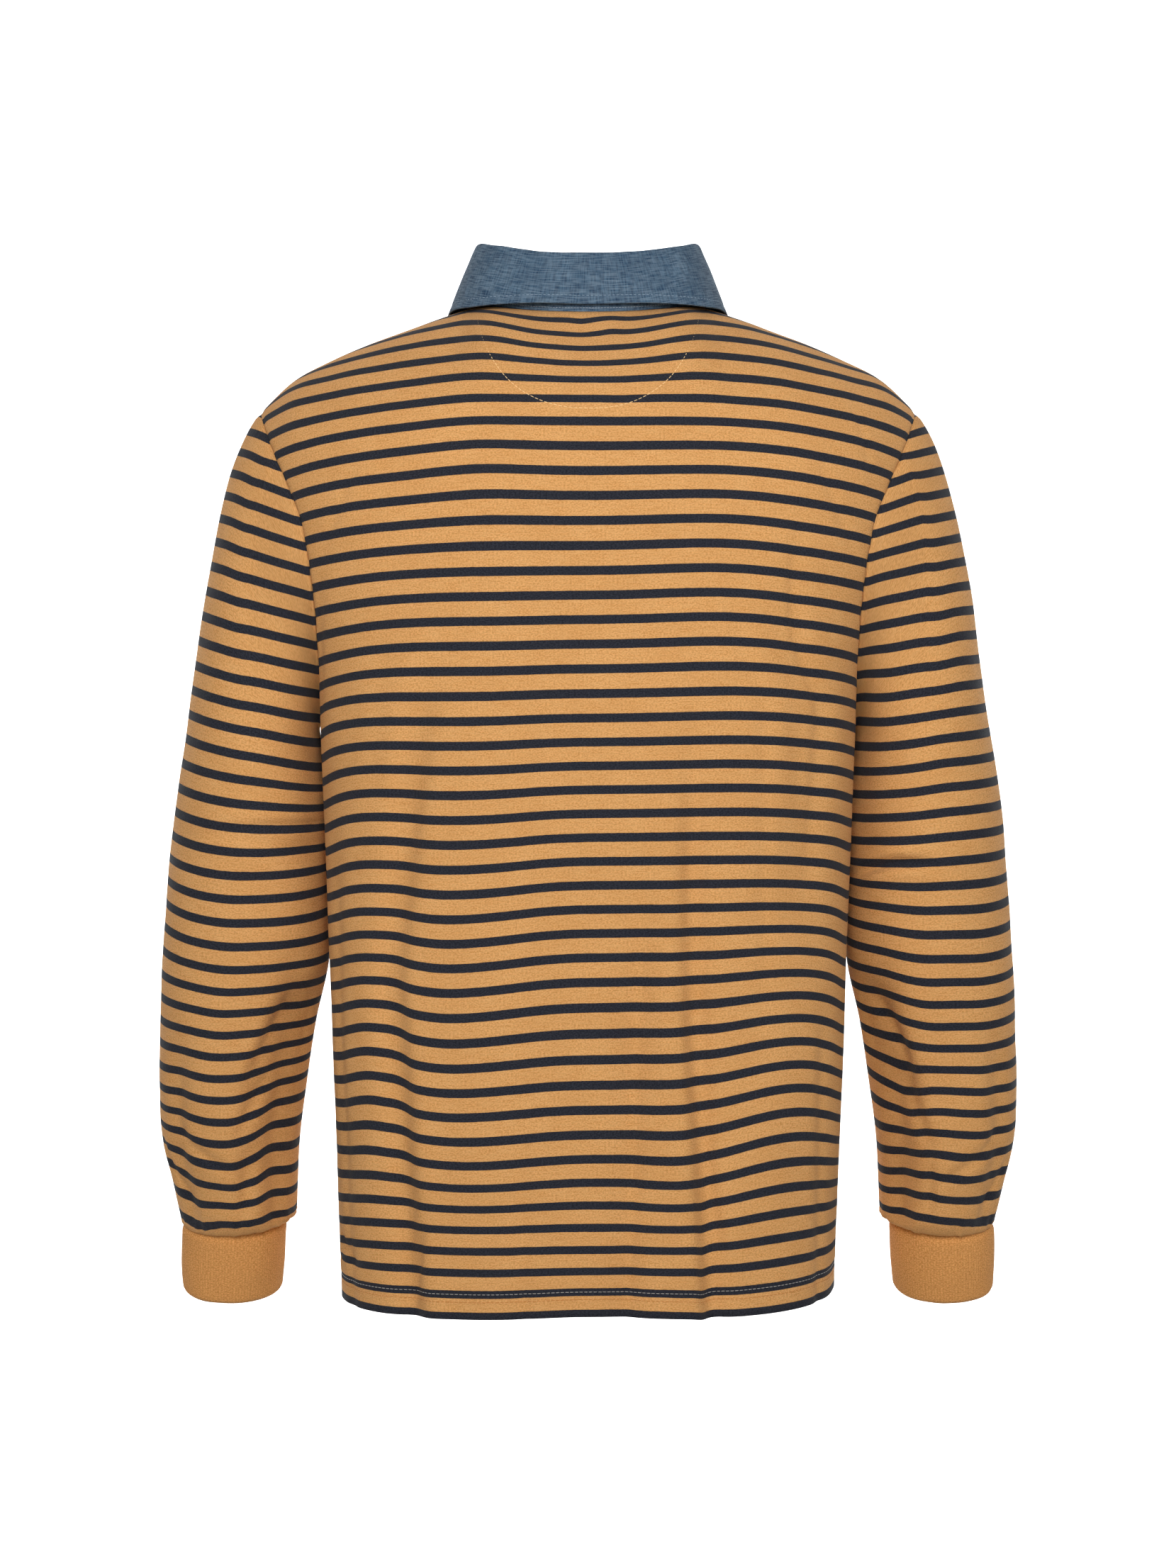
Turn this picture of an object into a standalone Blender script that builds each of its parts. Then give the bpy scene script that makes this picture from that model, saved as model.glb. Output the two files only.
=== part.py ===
"""A long-sleeved rugby shirt, filled out as it is worn, with nobody in it.

Metres, +Z up. The front faces -Y and the wearer's left is +X. The origin is the middle
of the neck opening, level with the shoulders, where the wearer holds the shirt up.

Every panel is a grid of points on the garment's form, and becomes a wall of cloth. Rows
of a panel follow the stripes of the cloth: a row's index counts stripes down from the
collar, one PITCH apart. Panels that are sewn together share their seam's points.
"""

import math

import bmesh
import bpy
import numpy as np
from mathutils import Vector

# Driving sizes.
PITCH = 0.0167  # one repeat of the stripes, down the cloth
JERSEY = 0.0018  # thickness of the heavy jersey
RIB = 0.0020  # thickness of the doubled rib cuff
CHAMBRAY = 0.0014  # thickness of the collar's interlined chambray
BAND = 0.0012  # thickness of a placket band
SEAM_GAP = 0.00045  # between two pieces at a seam

NECK_SHARE = 0.40  # share of a half panel's width that the neckline takes
UNDERARM = 18.5  # stripe index of the underarm point
YOKE_ROW = 7.0  # index of the row where the shoulder's curve ends
HEM = 44.15  # index of the hem's edge

CUFF_TOP = 36.0  # sleeve index of the cuff seam
FULL_RING = 14.0  # sleeve index of the first ring below the underarm

SECTION_STEPS = 180  # points that measure a section's length
OUTWARD = (1.0, 1.6, 0.0)  # how folds sink: more towards the front and back than sideways
CALM_SHARE = 0.12  # of a half panel's width beside a seam, where folds die out
CALM_ROWS = 0.25  # of the yoke's height under the top edge, where they die out

# Grid counts. The armhole's rows are the sleeve's columns.
NECK_COLUMNS = 5
SHOULDER_COLUMNS = 6
YOKE_ROWS = 6
ARMHOLE_ROWS = 6
BODY_ROWS = 16
CAP_ROWS = 6
SLEEVE_ROWS = 12  # down to BLOUSE_ROWS[0]
BLOUSE_ROWS = (33.0, 34.3, 35.1, 35.7, CUFF_TOP)  # sleeve indices of its last rings
CUFF_ROWS = 4
SHARP_ANGLE = 50  # degrees, between faces that aren't shaded as one

# The form of the body.
def table(names, *rows):
    """Numbers in named columns, a row for each section or fold."""
    return dict(zip(names.split(), np.array(rows, float).T))


# A row for each level of the cloth. "height" is the middle back's, "drop" is how much
# lower the panel's edge hangs, "edge_x" the half width at the side seam or armhole,
# "back" and "front" the depths in the middle, "back_y" and "front_y" the depths of the
# armhole's edges, and "square" the exponent of the rounded section.
LEVELS = table(
    "index height drop edge_x back front back_y front_y square",
    (7.0, -0.086, 0.018, 0.2200, 0.112, 0.100, 0.026, 0.050, 1.80),
    (10.0, -0.137, 0.012, 0.2010, 0.116, 0.118, 0.052, 0.066, 2.25),
    (13.0, -0.188, 0.009, 0.1925, 0.117, 0.127, 0.054, 0.064, 2.50),
    (16.0, -0.238, 0.009, 0.1890, 0.117, 0.130, 0.034, 0.040, 2.70),
    (18.5, -0.280, 0.009, 0.1880, 0.117, 0.131, 0.000, 0.000, 2.80),
    (22.0, -0.337, 0.008, 0.1858, 0.116, 0.130, 0.000, 0.000, 2.80),
    (26.0, -0.402, 0.008, 0.1833, 0.114, 0.127, 0.000, 0.000, 2.80),
    (30.0, -0.468, 0.005, 0.1807, 0.113, 0.124, 0.000, 0.000, 2.80),
    (34.0, -0.538, 0.000, 0.1787, 0.112, 0.122, 0.000, 0.000, 2.75),
    (38.0, -0.603, 0.000, 0.1763, 0.113, 0.121, 0.000, 0.000, 2.70),
    (41.0, -0.650, 0.000, 0.1748, 0.114, 0.121, 0.000, 0.000, 2.65),
    (HEM, -0.698, -0.003, 0.1733, 0.115, 0.121, 0.000, 0.000, 2.60),
)

# The top edge of a half panel, from the middle to the shoulder point. "share" is the
# place across the half panel, and "index" the stripe that the edge cuts there.
TOP_EDGES = {
    "back": table(
        "share index x y z",
        (0.00, 0.45, 0.000, 0.046, -0.0040),
        (0.16, 0.25, 0.036, 0.040, -0.0025),
        (0.30, -0.10, 0.066, 0.019, 0.0020),
        (NECK_SHARE, -0.45, 0.079, -0.012, 0.0040),
        (0.60, 0.35, 0.122, -0.016, -0.0120),
        (0.80, 1.50, 0.178, -0.020, -0.0335),
        (0.90, 2.35, 0.206, -0.022, -0.0475),
        (1.00, 3.45, 0.2320, -0.024, -0.0705),
    ),
    "front": table(
        "share index x y z",
        (0.00, 5.80, 0.000, -0.092, -0.0720),
        (0.16, 5.00, 0.031, -0.084, -0.0610),
        (0.30, 2.40, 0.064, -0.054, -0.0270),
        (NECK_SHARE, -0.45, 0.079, -0.012, 0.0040),
        (0.60, 0.60, 0.122, -0.016, -0.0120),
        (0.80, 2.10, 0.178, -0.020, -0.0335),
        (0.90, 3.25, 0.206, -0.022, -0.0475),
        (1.00, 4.60, 0.2320, -0.024, -0.0705),
    ),
}
# Which way the cloth leaves the top edge, as (x, y, z), in the middle, at the neck point
# and at the shoulder point.
TOP_LEAVES = {
    "back": ((0.0, 0.76, -0.65), (0.12, 1.0, 0.05), (0.10, 0.95, 0.25)),
    "front": ((0.0, -0.45, -0.89), (0.12, -0.90, -0.40), (0.10, -0.70, -0.70)),
}

# Folds of the two panels. "top", "bend" and "foot" are the fold's places across the whole
# panel, from -1 on the wearer's right to 1 on the left, at the stripes where it starts,
# bends and ends. "half" is its half width as a share, and "depth" how far it sinks, or
# stands out if negative. A fold that ends at the hem runs out at its full depth.
FOLDS = {
    "back": table(
        "top bend foot start middle end half depth",
        (0.40, 0.56, 0.53, 13, 30, HEM, 0.070, 0.0065),
        (-0.26, -0.29, -0.37, 17, 30, HEM, 0.050, 0.0050),
        (-0.20, -0.22, -0.28, 20, 30, HEM, 0.050, -0.0030),
        (-0.66, -0.61, -0.60, 12, 20, 31, 0.080, 0.0035),
        (-0.13, -0.12, -0.10, 27, 36, HEM, 0.060, 0.0050),
        (0.95, 0.84, 0.72, 40, 41, 42.5, 0.050, 0.0030),
        (0.00, 0.00, 0.00, 0.6, 2.4, 5, 0.200, 0.0030),
    ),
    "front": table(
        "top bend foot start middle end half depth",
        (0.44, 0.52, 0.56, 13, 28, HEM, 0.070, 0.0060),
        (-0.40, -0.50, -0.48, 14, 30, HEM, 0.065, 0.0060),
        (0.10, 0.14, 0.17, 19, 33, HEM, 0.055, 0.0045),
        (-0.12, -0.16, -0.20, 22, 34, HEM, 0.055, 0.0050),
        (0.70, 0.58, 0.48, 9, 12, 16, 0.070, 0.0035),
        (-0.70, -0.58, -0.48, 9, 12, 16, 0.070, 0.0035),
    ),
}
# Where the hanging cloth sags out of level, or lifts if "drop" is negative. "rows" is
# half of the sag's reach in stripes.
SAGS = {
    "back": table(
        "share index half rows drop",
        (0.42, 30, 0.16, 10, 0.0060),
        (-0.60, 35, 0.27, 7, -0.0125),
        (0.64, 34, 0.12, 5, -0.0050),
        (0.85, 24, 0.16, 9, 0.0050),
        (0.26, 29, 0.17, 12, 0.0042),
        (0.30, 37.5, 0.35, 2.6, 0.0030),
        (-0.27, 38, 0.20, 3.2, 0.0042),
        (0.33, 8.5, 0.20, 3.5, -0.0025),
        (0.00, 43.8, 0.25, 2.0, -0.0025),
        (-0.45, 14, 0.30, 14, -0.0030),
        (-0.85, 28, 0.12, 7, 0.0040),
    ),
    "front": table(
        "share index half rows drop",
        (-0.40, 31, 0.18, 9, 0.005),
        (0.55, 35, 0.22, 6, -0.008),
    ),
}
# How far the side seams are drawn up near the hem. "side" is 1 on the wearer's left.
SEAM_LIFTS = table(
    "side index half rows rise",
    (-1, 42.5, 0.35, 6.0, 0.0118),
    (1, 43.6, 0.30, 1.6, 0.0065),
    (1, 39.5, 0.30, 2.2, -0.0030),
)

# The sleeve's form.
# A row for each ring of the left sleeve. "outer" and "inner" are its two sides, "y" and
# "deep" the middle and half of its depth, and "lean" how far the ring leans forward, in
# degrees.
SLEEVE_RINGS = table(
    "index outer_x outer_z inner_x inner_z y deep lean",
    (FULL_RING, 0.2860, -0.2985, 0.1878, -0.3240, -0.022, 0.064, 3),
    (17.0, 0.2940, -0.3500, 0.1854, -0.3660, -0.026, 0.063, 5),
    (20.0, 0.2985, -0.4020, 0.1838, -0.4090, -0.030, 0.061, 7),
    (23.0, 0.3025, -0.4540, 0.1843, -0.4560, -0.034, 0.059, 8),
    (26.0, 0.3052, -0.5020, 0.1940, -0.5010, -0.040, 0.057, 9),
    (29.0, 0.3072, -0.5480, 0.2010, -0.5440, -0.048, 0.055, 11),
    (32.0, 0.3050, -0.5880, 0.2069, -0.5890, -0.056, 0.051, 13),
    (34.0, 0.2990, -0.6150, 0.2087, -0.6195, -0.063, 0.047, 15),
    (35.3, 0.2945, -0.6350, 0.2098, -0.6380, -0.067, 0.043, 17),
    (35.7, 0.2925, -0.6440, 0.2104, -0.6405, -0.068, 0.038, 18),
    (CUFF_TOP, 0.2922, -0.6485, 0.2172, -0.6445, -0.069, 0.032, 20),
)
CUFF_RINGS = table(
    "index outer_x outer_z inner_x inner_z y deep lean",
    (0.00, 0.2922, -0.6485, 0.2172, -0.6445, -0.069, 0.032, 20),
    (0.35, 0.2930, -0.6650, 0.2182, -0.6640, -0.075, 0.031, 21),
    (1.00, 0.2935, -0.6960, 0.2216, -0.6960, -0.087, 0.029, 22),
)
# Which way the sleeve leaves the armhole, as (x, y, z), at its outer side, back, inner
# side and front, and how strongly it keeps that way.
CAP_LEAVES = ((0.66, 0.00, -0.75), (0.60, 0.05, -0.80), (0.45, -0.05, -0.89), (0.70, -0.30, -0.65))
CAP_PULL = 0.6
# Folds along the sleeve. "turn" is the place round the ring at the fold's start and end,
# in degrees from the outer side towards the back.
SLEEVE_FOLDS = table(
    "start_turn end_turn start end half depth",
    (150, 128, 15.5, 19, 22, 0.0035),
    (128, 138, 21, CUFF_TOP, 16, 0.0045),
    (48, 42, 25, CUFF_TOP, 13, 0.0040),
    (-60, -80, 16, 26, 20, 0.0050),
    (-120, -100, 20, CUFF_TOP, 18, 0.0045),
    (-30, -40, 27, CUFF_TOP, 14, 0.0035),
)

# The collar's form.
# Points of the left half, from the middle of the back round to the middle of the front:
# the stand's top edge, where the collar folds, and the leaf's lower rim.
COLLAR = table(
    "share fold_x fold_y fold_z rim_x rim_y rim_z",
    (0.00, 0.0000, 0.0455, 0.0338, 0.0000, 0.0555, -0.0018),
    (0.13, 0.0330, 0.0420, 0.0350, 0.0440, 0.0525, -0.0006),
    (0.26, 0.0630, 0.0250, 0.0410, 0.0810, 0.0365, 0.0028),
    (0.40, 0.0765, -0.0040, 0.0445, 0.0988, -0.0010, 0.0035),
    (0.54, 0.0700, -0.0330, 0.0310, 0.0972, -0.0430, -0.0085),
    (0.70, 0.0510, -0.0640, -0.0010, 0.0855, -0.0775, -0.0450),
    (0.86, 0.0240, -0.0850, -0.0300, 0.0640, -0.0990, -0.0825),
    (1.00, 0.0015, -0.0915, -0.0440, 0.0430, -0.1095, -0.1030),
)
# The leaf's path as it turns over the stand: outwards and up from the stand's top edge.
LEAF_ROLL = ((-0.0014, 0.0009), (-0.0012, 0.0019), (0.0002, 0.0028), (0.0020, 0.0025), (0.0034, 0.0008))
STAND_ROWS = 3
LEAF_ROWS = 5

# The placket.
PLACKET_HALF = 0.0165  # half the width of the bands
PLACKET_SPAN = (5.86, 14.6)  # stripe indices where the bands start and end
OUTER_LIFT = 1.9 * SEAM_GAP + BAND  # of the outer band's face over the front panel
UNDER_LIFT = -JERSEY - 2.2 * SEAM_GAP
BAND_ROWS = 9
BAND_COLUMNS = 4
SLIT_CELLS = 9  # cells of the front panel that the slit cuts away, down from the neck
BUTTON_RADIUS = 0.0057
BUTTON_HEIGHT = 0.0026
BUTTON_LIFT = 1.3 * SEAM_GAP  # of a button over the band
BUTTON_PLACES = (0.13, 0.48, 0.83)  # where the buttons are, as shares of the band's length
HOLE_RADIUS = 0.0009
HOLE_SPACING = 0.0016  # from the button's middle to each of its four holes
BUTTON_STEPS = 16
# A button's outline in shares of its radius and height, from the middle of its face.
BUTTON_PROFILE = ((0, 0.62), (0.62, 0.62), (0.76, 0.95), (0.92, 1), (1, 0.8), (1, 0.25), (0.86, 0), (0, 0))

OCHRE = (0.640, 0.330, 0.110)
BLUE = (0.090, 0.150, 0.240)
IVORY = (0.80, 0.76, 0.66)


# Small tools.
def rows_of(columns):
    return [dict(zip(columns, row)) for row in zip(*columns.values())]


def together(columns, *names):
    """Some of a table's columns as one array of points."""
    return np.stack([columns[name] for name in names], -1)


def smooth(knots, values, at):
    """A cubic through a table's values, with slopes taken from the rows beside."""
    slopes = np.gradient(values, knots, axis=0)
    at = np.clip(np.asarray(at, float), knots[0], knots[-1])
    i = np.clip(np.searchsorted(knots, at) - 1, 0, len(knots) - 2)
    gap = knots[i + 1] - knots[i]
    s = (at - knots[i]) / gap
    if values.ndim > 1:
        gap, s = gap[..., None], s[..., None]
    return hermite(values[i], slopes[i] * gap, values[i + 1], slopes[i + 1] * gap, s)


def hermite(start, leaving, end, arriving, s):
    return (
        start * (2 * s**3 - 3 * s**2 + 1)
        + leaving * (s**3 - 2 * s**2 + s)
        + end * (3 * s**2 - 2 * s**3)
        + arriving * (s**3 - s**2)
    )


def past_middle(knots, values, signs):
    """A half's table with its second row mirrored in front, so it crosses the middle smoothly."""
    mirrored = values[1] * signs
    return np.concatenate([[2 * knots[0] - knots[1]], knots]), np.concatenate([[mirrored], values])


def unit(vectors):
    return vectors / np.maximum(np.linalg.norm(vectors, axis=-1, keepdims=True), 1e-12)


def bump(distance):
    """1 in the middle of a fold, falling to nearly 0 at twice its half width."""
    return np.exp(-(distance**2) * 1.4) * (np.abs(distance) < 3)


def fade(index, start, end):
    """0 outside start..end and 1 inside, over soft ends. A fold runs out over the hem."""
    over = (end - start) / 3
    rise = np.clip((index - start) / over, 0, 1)
    fall = 1.0 if end >= HEM else np.clip((end - index) / over, 0, 1)
    part = rise * fall
    return part * part * (3 - 2 * part)


# The body.
def section(index, share, side):
    """(x, y, z) on the rounded section of a level, at a share of the half panel."""
    size = {name: smooth(LEVELS["index"], LEVELS[name], index) for name in LEVELS}
    deep, edge_y = size[side], np.maximum(size[side + "_y"], 0)
    power = size["square"]
    wide = size["edge_x"] / (1 - (edge_y / deep) ** power) ** (1 / power)
    last = math.asin(min((size["edge_x"] / wide) ** (power / 2), 1.0))
    turn = np.linspace(0, last, SECTION_STEPS + 1)
    x = wide * np.sin(turn) ** (2 / power)
    y = deep * np.maximum(np.cos(turn), 0) ** (2 / power)
    length = np.concatenate([[0], np.cumsum(np.hypot(np.diff(x), np.diff(y)))])
    at = np.abs(share) * length[-1]
    x, y = np.interp(at, length, x), np.interp(at, length, y)
    z = size["height"] - size["drop"] * np.abs(share) ** 3
    return np.stack([np.sign(share) * x, y if side == "back" else -y, z], -1)


def top_edge(share, side):
    """The point of the neckline or shoulder seam, and the stripe index it cuts."""
    edge = TOP_EDGES[side]
    knots, values = edge["share"], together(edge, "index", "x", "y", "z")
    neck, shoulder = knots <= NECK_SHARE, knots >= NECK_SHARE
    across = np.abs(share)
    inner = smooth(*past_middle(knots[neck], values[neck], (1, -1, 1, 1)), across)
    outer = smooth(knots[shoulder], values[shoulder], across)
    found = np.where((across <= NECK_SHARE)[..., None], inner, outer)
    found[..., 1] *= np.sign(share)
    return found[..., 1:], found[..., 0]


def leaving(share, side):
    """Unit direction in which the cloth leaves the top edge."""
    knots, ways = past_middle(np.array([0, NECK_SHARE, 1]), np.array(TOP_LEAVES[side]), (-1, 1, 1))
    way = unit(smooth(knots, ways, np.abs(share)))
    way[..., 0] *= np.sign(share)
    return way


def fold_depth(share, index, side):
    """How far the folds sink the cloth at a place of a panel."""
    depth = 0
    for fold in rows_of(FOLDS[side]):
        knots = (fold["start"], fold["middle"], fold["end"])
        path = np.interp(index, knots, (fold["top"], fold["bend"], fold["foot"]))
        ends = fade(index, fold["start"], fold["end"])
        depth = depth + fold["depth"] * bump((share - path) / fold["half"]) * ends
    return depth


def sag_drop(share, index, side):
    drop = 0
    for sag in rows_of(SAGS[side]):
        across = bump((share - sag["share"]) / sag["half"])
        drop = drop + sag["drop"] * across * bump((index - sag["index"]) / sag["rows"])
    return drop


def seam_rise(share, index):
    rise = 0
    for lift in rows_of(SEAM_LIFTS):
        across = bump((share - lift["side"]) / lift["half"])
        rise = rise + lift["rise"] * across * bump((index - lift["index"]) / lift["rows"])
    return rise


def panel_point(share, row, side):
    """A point of a panel. "row" runs from 0 at the top edge through 1 at YOKE_ROW and 2 at
    the underarm to 3 at the hem."""
    top, top_index = top_edge(share, side)
    if row < 1:
        index = top_index + (YOKE_ROW - top_index) * row
        foot = section(YOKE_ROW, share, side)
        down = unit(section(YOKE_ROW + 0.5, share, side) - foot)
        run = ((YOKE_ROW - top_index) * PITCH)[..., None]
        point = hermite(top, leaving(share, side) * run, foot, down * run, row)
    else:
        start, end = (YOKE_ROW, UNDERARM) if row < 2 else (UNDERARM, HEM)
        index = np.full_like(share, start + (end - start) * (row - (1 if row < 2 else 2)))
        point = section(index[0], share, side)
    calm = np.clip((1 - np.abs(share)) / CALM_SHARE, 0, 1)  # seams stay where they are sewn
    outward = unit(point * OUTWARD + 1e-9)
    calm = calm * min(row / CALM_ROWS, 1)
    point = point - outward * (fold_depth(share, index, side) * calm)[..., None]
    point[..., 2] += seam_rise(share, index) - sag_drop(share, index, side) * calm
    return point


def shares():
    """Shares of the columns, from the wearer's right to the left."""
    neck = np.linspace(0, NECK_SHARE, NECK_COLUMNS + 1)
    shoulder = np.linspace(NECK_SHARE, 1, SHOULDER_COLUMNS + 1)
    half = np.concatenate([neck, shoulder[1:]])
    return np.concatenate([-half[:0:-1], half])


def panel_rows():
    return np.concatenate([
        np.linspace(0, 1, YOKE_ROWS + 1),
        np.linspace(1, 2, ARMHOLE_ROWS + 1)[1:],
        np.linspace(2, 3, BODY_ROWS + 1)[1:],
    ])


def panel(side):
    across = shares()
    return np.array([panel_point(across, row, side) for row in panel_rows()])


# The sleeves.
def ring(rings, index, turns):
    """Points round a sleeve ring, turned from the outer side towards the back."""
    size = {name: smooth(rings["index"], rings[name], index) for name in rings}
    outer = np.array([size["outer_x"], size["y"], size["outer_z"]])
    inner = np.array([size["inner_x"], size["y"], size["inner_z"]])
    lean = math.radians(size["lean"])
    back = size["deep"] * np.array([0, math.cos(lean), -math.sin(lean)])
    turns = turns[:, None]
    return (outer + inner) / 2 + np.cos(turns) * (outer - inner) / 2 + np.sin(turns) * back


def armhole(back, front):
    """The armhole's points on the left: from the shoulder down the back, and up the front."""
    last = YOKE_ROWS + ARMHOLE_ROWS
    return np.concatenate([back[: last + 1, -1], front[last - 1 : 0 : -1, -1]])


def cap_leaving(turns):
    quarters = np.radians([0.0, 90, 180, 270, 360])
    return unit(smooth(quarters, np.array([*CAP_LEAVES, CAP_LEAVES[0]]), turns))


def sleeve_fold_depth(index, turns):
    depth = 0
    for fold in rows_of(SLEEVE_FOLDS):
        turn = np.interp(index, (fold["start"], fold["end"]), (fold["start_turn"], fold["end_turn"]))
        off = (np.degrees(turns) - turn + 180) % 360 - 180
        ends = (index - fold["start"]) * (fold["end"] - index) / 4  # soft over the last stripe or so
        depth = depth + fold["depth"] * bump(off / fold["half"]) * min(max(ends, 0), 1)
    return depth


def sleeve(hole):
    """Rows of the left sleeve, from the armhole to the cuff seam."""
    count = len(hole)
    turns = 2 * math.pi * np.arange(count) / count
    first = ring(SLEEVE_RINGS, FULL_RING, turns)
    arriving = unit(ring(SLEEVE_RINGS, FULL_RING + 0.5, turns) - first)
    run = np.linalg.norm(first - hole, axis=1)[:, None]
    pull = cap_leaving(turns) * run * CAP_PULL
    rows = [hermite(hole, pull, first, arriving * run, s) for s in np.linspace(0, 1, CAP_ROWS + 1)[:-1]]
    for index in [*np.linspace(FULL_RING, BLOUSE_ROWS[0], SLEEVE_ROWS + 1), *BLOUSE_ROWS[1:]]:
        points = ring(SLEEVE_RINGS, index, turns)
        inward = unit(points.mean(axis=0) - points)
        rows.append(points + inward * np.reshape(sleeve_fold_depth(index, turns), (-1, 1)))
    return np.array(rows)


def cuff(first):
    """Rows of the left cuff, which starts at the sleeve's last row."""
    turns = 2 * math.pi * np.arange(len(first)) / len(first)
    rows = [ring(CUFF_RINGS, index, turns) for index in np.linspace(0, 1, CUFF_ROWS + 1)]
    rows[0] = first
    return np.array(rows)


# The collar.
def neckline(back, front):
    """The neck seam's points, from the front's middle on the right round the back to the left."""
    middle = NECK_COLUMNS + SHOULDER_COLUMNS
    end = front[0, middle] + [SEAM_GAP, 0, SEAM_GAP]  # the ends meet over the placket
    neck_point = middle + NECK_COLUMNS
    round_front, round_back = front[0, middle + 1 : neck_point + 1], back[0, neck_point - 1 : middle : -1]
    left = np.concatenate([[end], round_front, round_back])
    right = left * [-1, 1, 1]
    return np.concatenate([right, back[0, middle : middle + 1], left[::-1]])


def collar_line(name, share):
    """A line of the collar, with share from -1 at the right front through 0 at the back to 1."""
    points = together(COLLAR, name + "_x", name + "_y", name + "_z")
    line = smooth(*past_middle(COLLAR["share"], points, (-1, 1, 1)), np.abs(share))
    line[..., 0] *= np.where(share < 0, -1, 1)
    return line


def stand_and_leaf(seam):
    """The collar's stand, from the neck seam to its top edge, and the leaf that turns over it."""
    length = np.concatenate([[0], np.cumsum(np.linalg.norm(np.diff(seam, axis=0), axis=1))])
    share = 2 * length / length[-1] - 1
    fold, rim = collar_line("fold", share), collar_line("rim", share)
    stand = np.array([seam * (1 - s) + fold * s for s in np.linspace(0, 1, STAND_ROWS + 1)])
    rise = unit(fold - seam)
    outward = unit(np.cross(rise, np.gradient(fold, axis=0)))
    leaf = [fold + outward * out + rise * up for out, up in LEAF_ROLL]
    leaf += [leaf[-1] * (1 - s) + rim * s for s in np.linspace(0, 1, LEAF_ROWS + 1)[1:]]
    return stand, np.array(leaf)


# Walls of cloth.
def grid_normals(grid, closed):
    """Unit normals of a grid's points, from its faces."""
    around = np.roll(grid, -1, axis=1) if closed else grid[:, 1:]
    base = grid if closed else grid[:, :-1]
    face = np.cross(around[1:] - base[:-1], base[1:] - around[:-1])
    normals = np.zeros_like(grid)
    for rows in (slice(0, -1), slice(1, None)):
        if closed:
            normals[rows] += face + np.roll(face, 1, axis=1)
        else:
            normals[rows, :-1] += face
            normals[rows, 1:] += face
    return unit(normals)


def beside(grid, closed, r, c):
    """The points of a grid that are beside one of its points."""
    rows, columns = grid.shape[:2]
    places = ((r - 1, c), (r + 1, c), (r, c - 1), (r, c + 1))
    if closed:
        places = [(a, b % columns) for a, b in places]
    return [grid[a, b] for a, b in places if 0 <= a < rows and 0 <= b < columns]


def rim_places(grid, closed):
    rows, columns = grid.shape[:2]
    return [
        (r, c) for r in range(rows) for c in range(columns)
        if r in (0, rows - 1) or (not closed and c in (0, columns - 1))
    ]


def spot(point):
    return tuple(np.round(point * 1e6).astype(int))


def parting(mine, theirs):
    """The way one piece draws back from another at a seam's point, and how far they are
    folded together, from the steps each takes to its points beside."""
    away = sum(mine.values()) - sum(theirs.values())
    along = [step for place, step in mine.items() if place in theirs]
    if along:
        seam = unit(along[0] - along[1]) if len(along) > 1 else along[0]
        away = away - (away @ seam) * seam
    together = unit(sum(mine.values())) @ unit(sum(theirs.values()))
    return unit(away), max(together, 0)


def sew(pieces):
    """The outer and inner faces of each piece. Where pieces share a seam's point, each is
    drawn back from the plane that halves the angle between them."""
    seams = {}
    for name, (grid, closed, turn, thick, finish) in pieces.items():
        for place in rim_places(grid, closed):
            steps = {spot(p): unit(p - grid[place]) for p in beside(grid, closed, *place)}
            seams.setdefault(spot(grid[place]), {})[name] = steps
    faces = {}
    for name, (grid, closed, turn, thick, finish) in pieces.items():
        outer = grid.copy()
        inner = grid - grid_normals(grid, closed) * turn * thick
        for place in rim_places(grid, closed):
            sharing = seams[spot(grid[place])]
            for other in sorted(sharing.keys() - {name}):
                away, together = parting(sharing[name], sharing[other])
                for face in (outer, inner):
                    short = SEAM_GAP * (0.5 + together) - (face[place] - grid[place]) @ away
                    face[place] += away * max(short, 0)
        faces[name] = (outer, inner)
    return faces


def wall(name, outer, inner, closed, skip=None):
    """A closed mesh between two grids. "skip" marks the cells that are cut away."""
    rows, columns = outer.shape[:2]
    size = rows * columns
    points = np.concatenate([outer.reshape(-1, 3), inner.reshape(-1, 3)])
    cells = columns if closed else columns - 1
    kept = np.ones((rows - 1, cells), bool) if skip is None else ~skip
    faces = []
    for r, c in zip(*np.nonzero(kept)):
        right = (c + 1) % columns
        a, b = r * columns + c, r * columns + right
        d, e = b + columns, a + columns
        faces.append((a, b, d, e))
        faces.append((a + size, e + size, d + size, b + size))
        beyond = {(b, a): (r - 1, c), (e, d): (r + 1, c), (a, e): (r, c - 1), (d, b): (r, c + 1)}
        for (start, end), (row, col) in beyond.items():
            if closed:
                col %= cells
            if not (0 <= row < rows - 1 and 0 <= col < cells and kept[row, col]):
                faces.append((start, end, end + size, start + size))
    used = sorted({i for face in faces for i in face})
    renumber = {old: new for new, old in enumerate(used)}
    mesh = bpy.data.meshes.new(name)
    mesh.from_pydata(points[used].tolist(), [], [[renumber[i] for i in face] for face in faces])
    tidy = bmesh.new()
    tidy.from_mesh(mesh)
    bmesh.ops.recalc_face_normals(tidy, faces=tidy.faces)
    tidy.to_mesh(mesh)
    tidy.free()
    mesh.shade_smooth()
    mesh.set_sharp_from_angle(angle=math.radians(SHARP_ANGLE))
    return bpy.data.objects.new(name, mesh)


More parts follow.
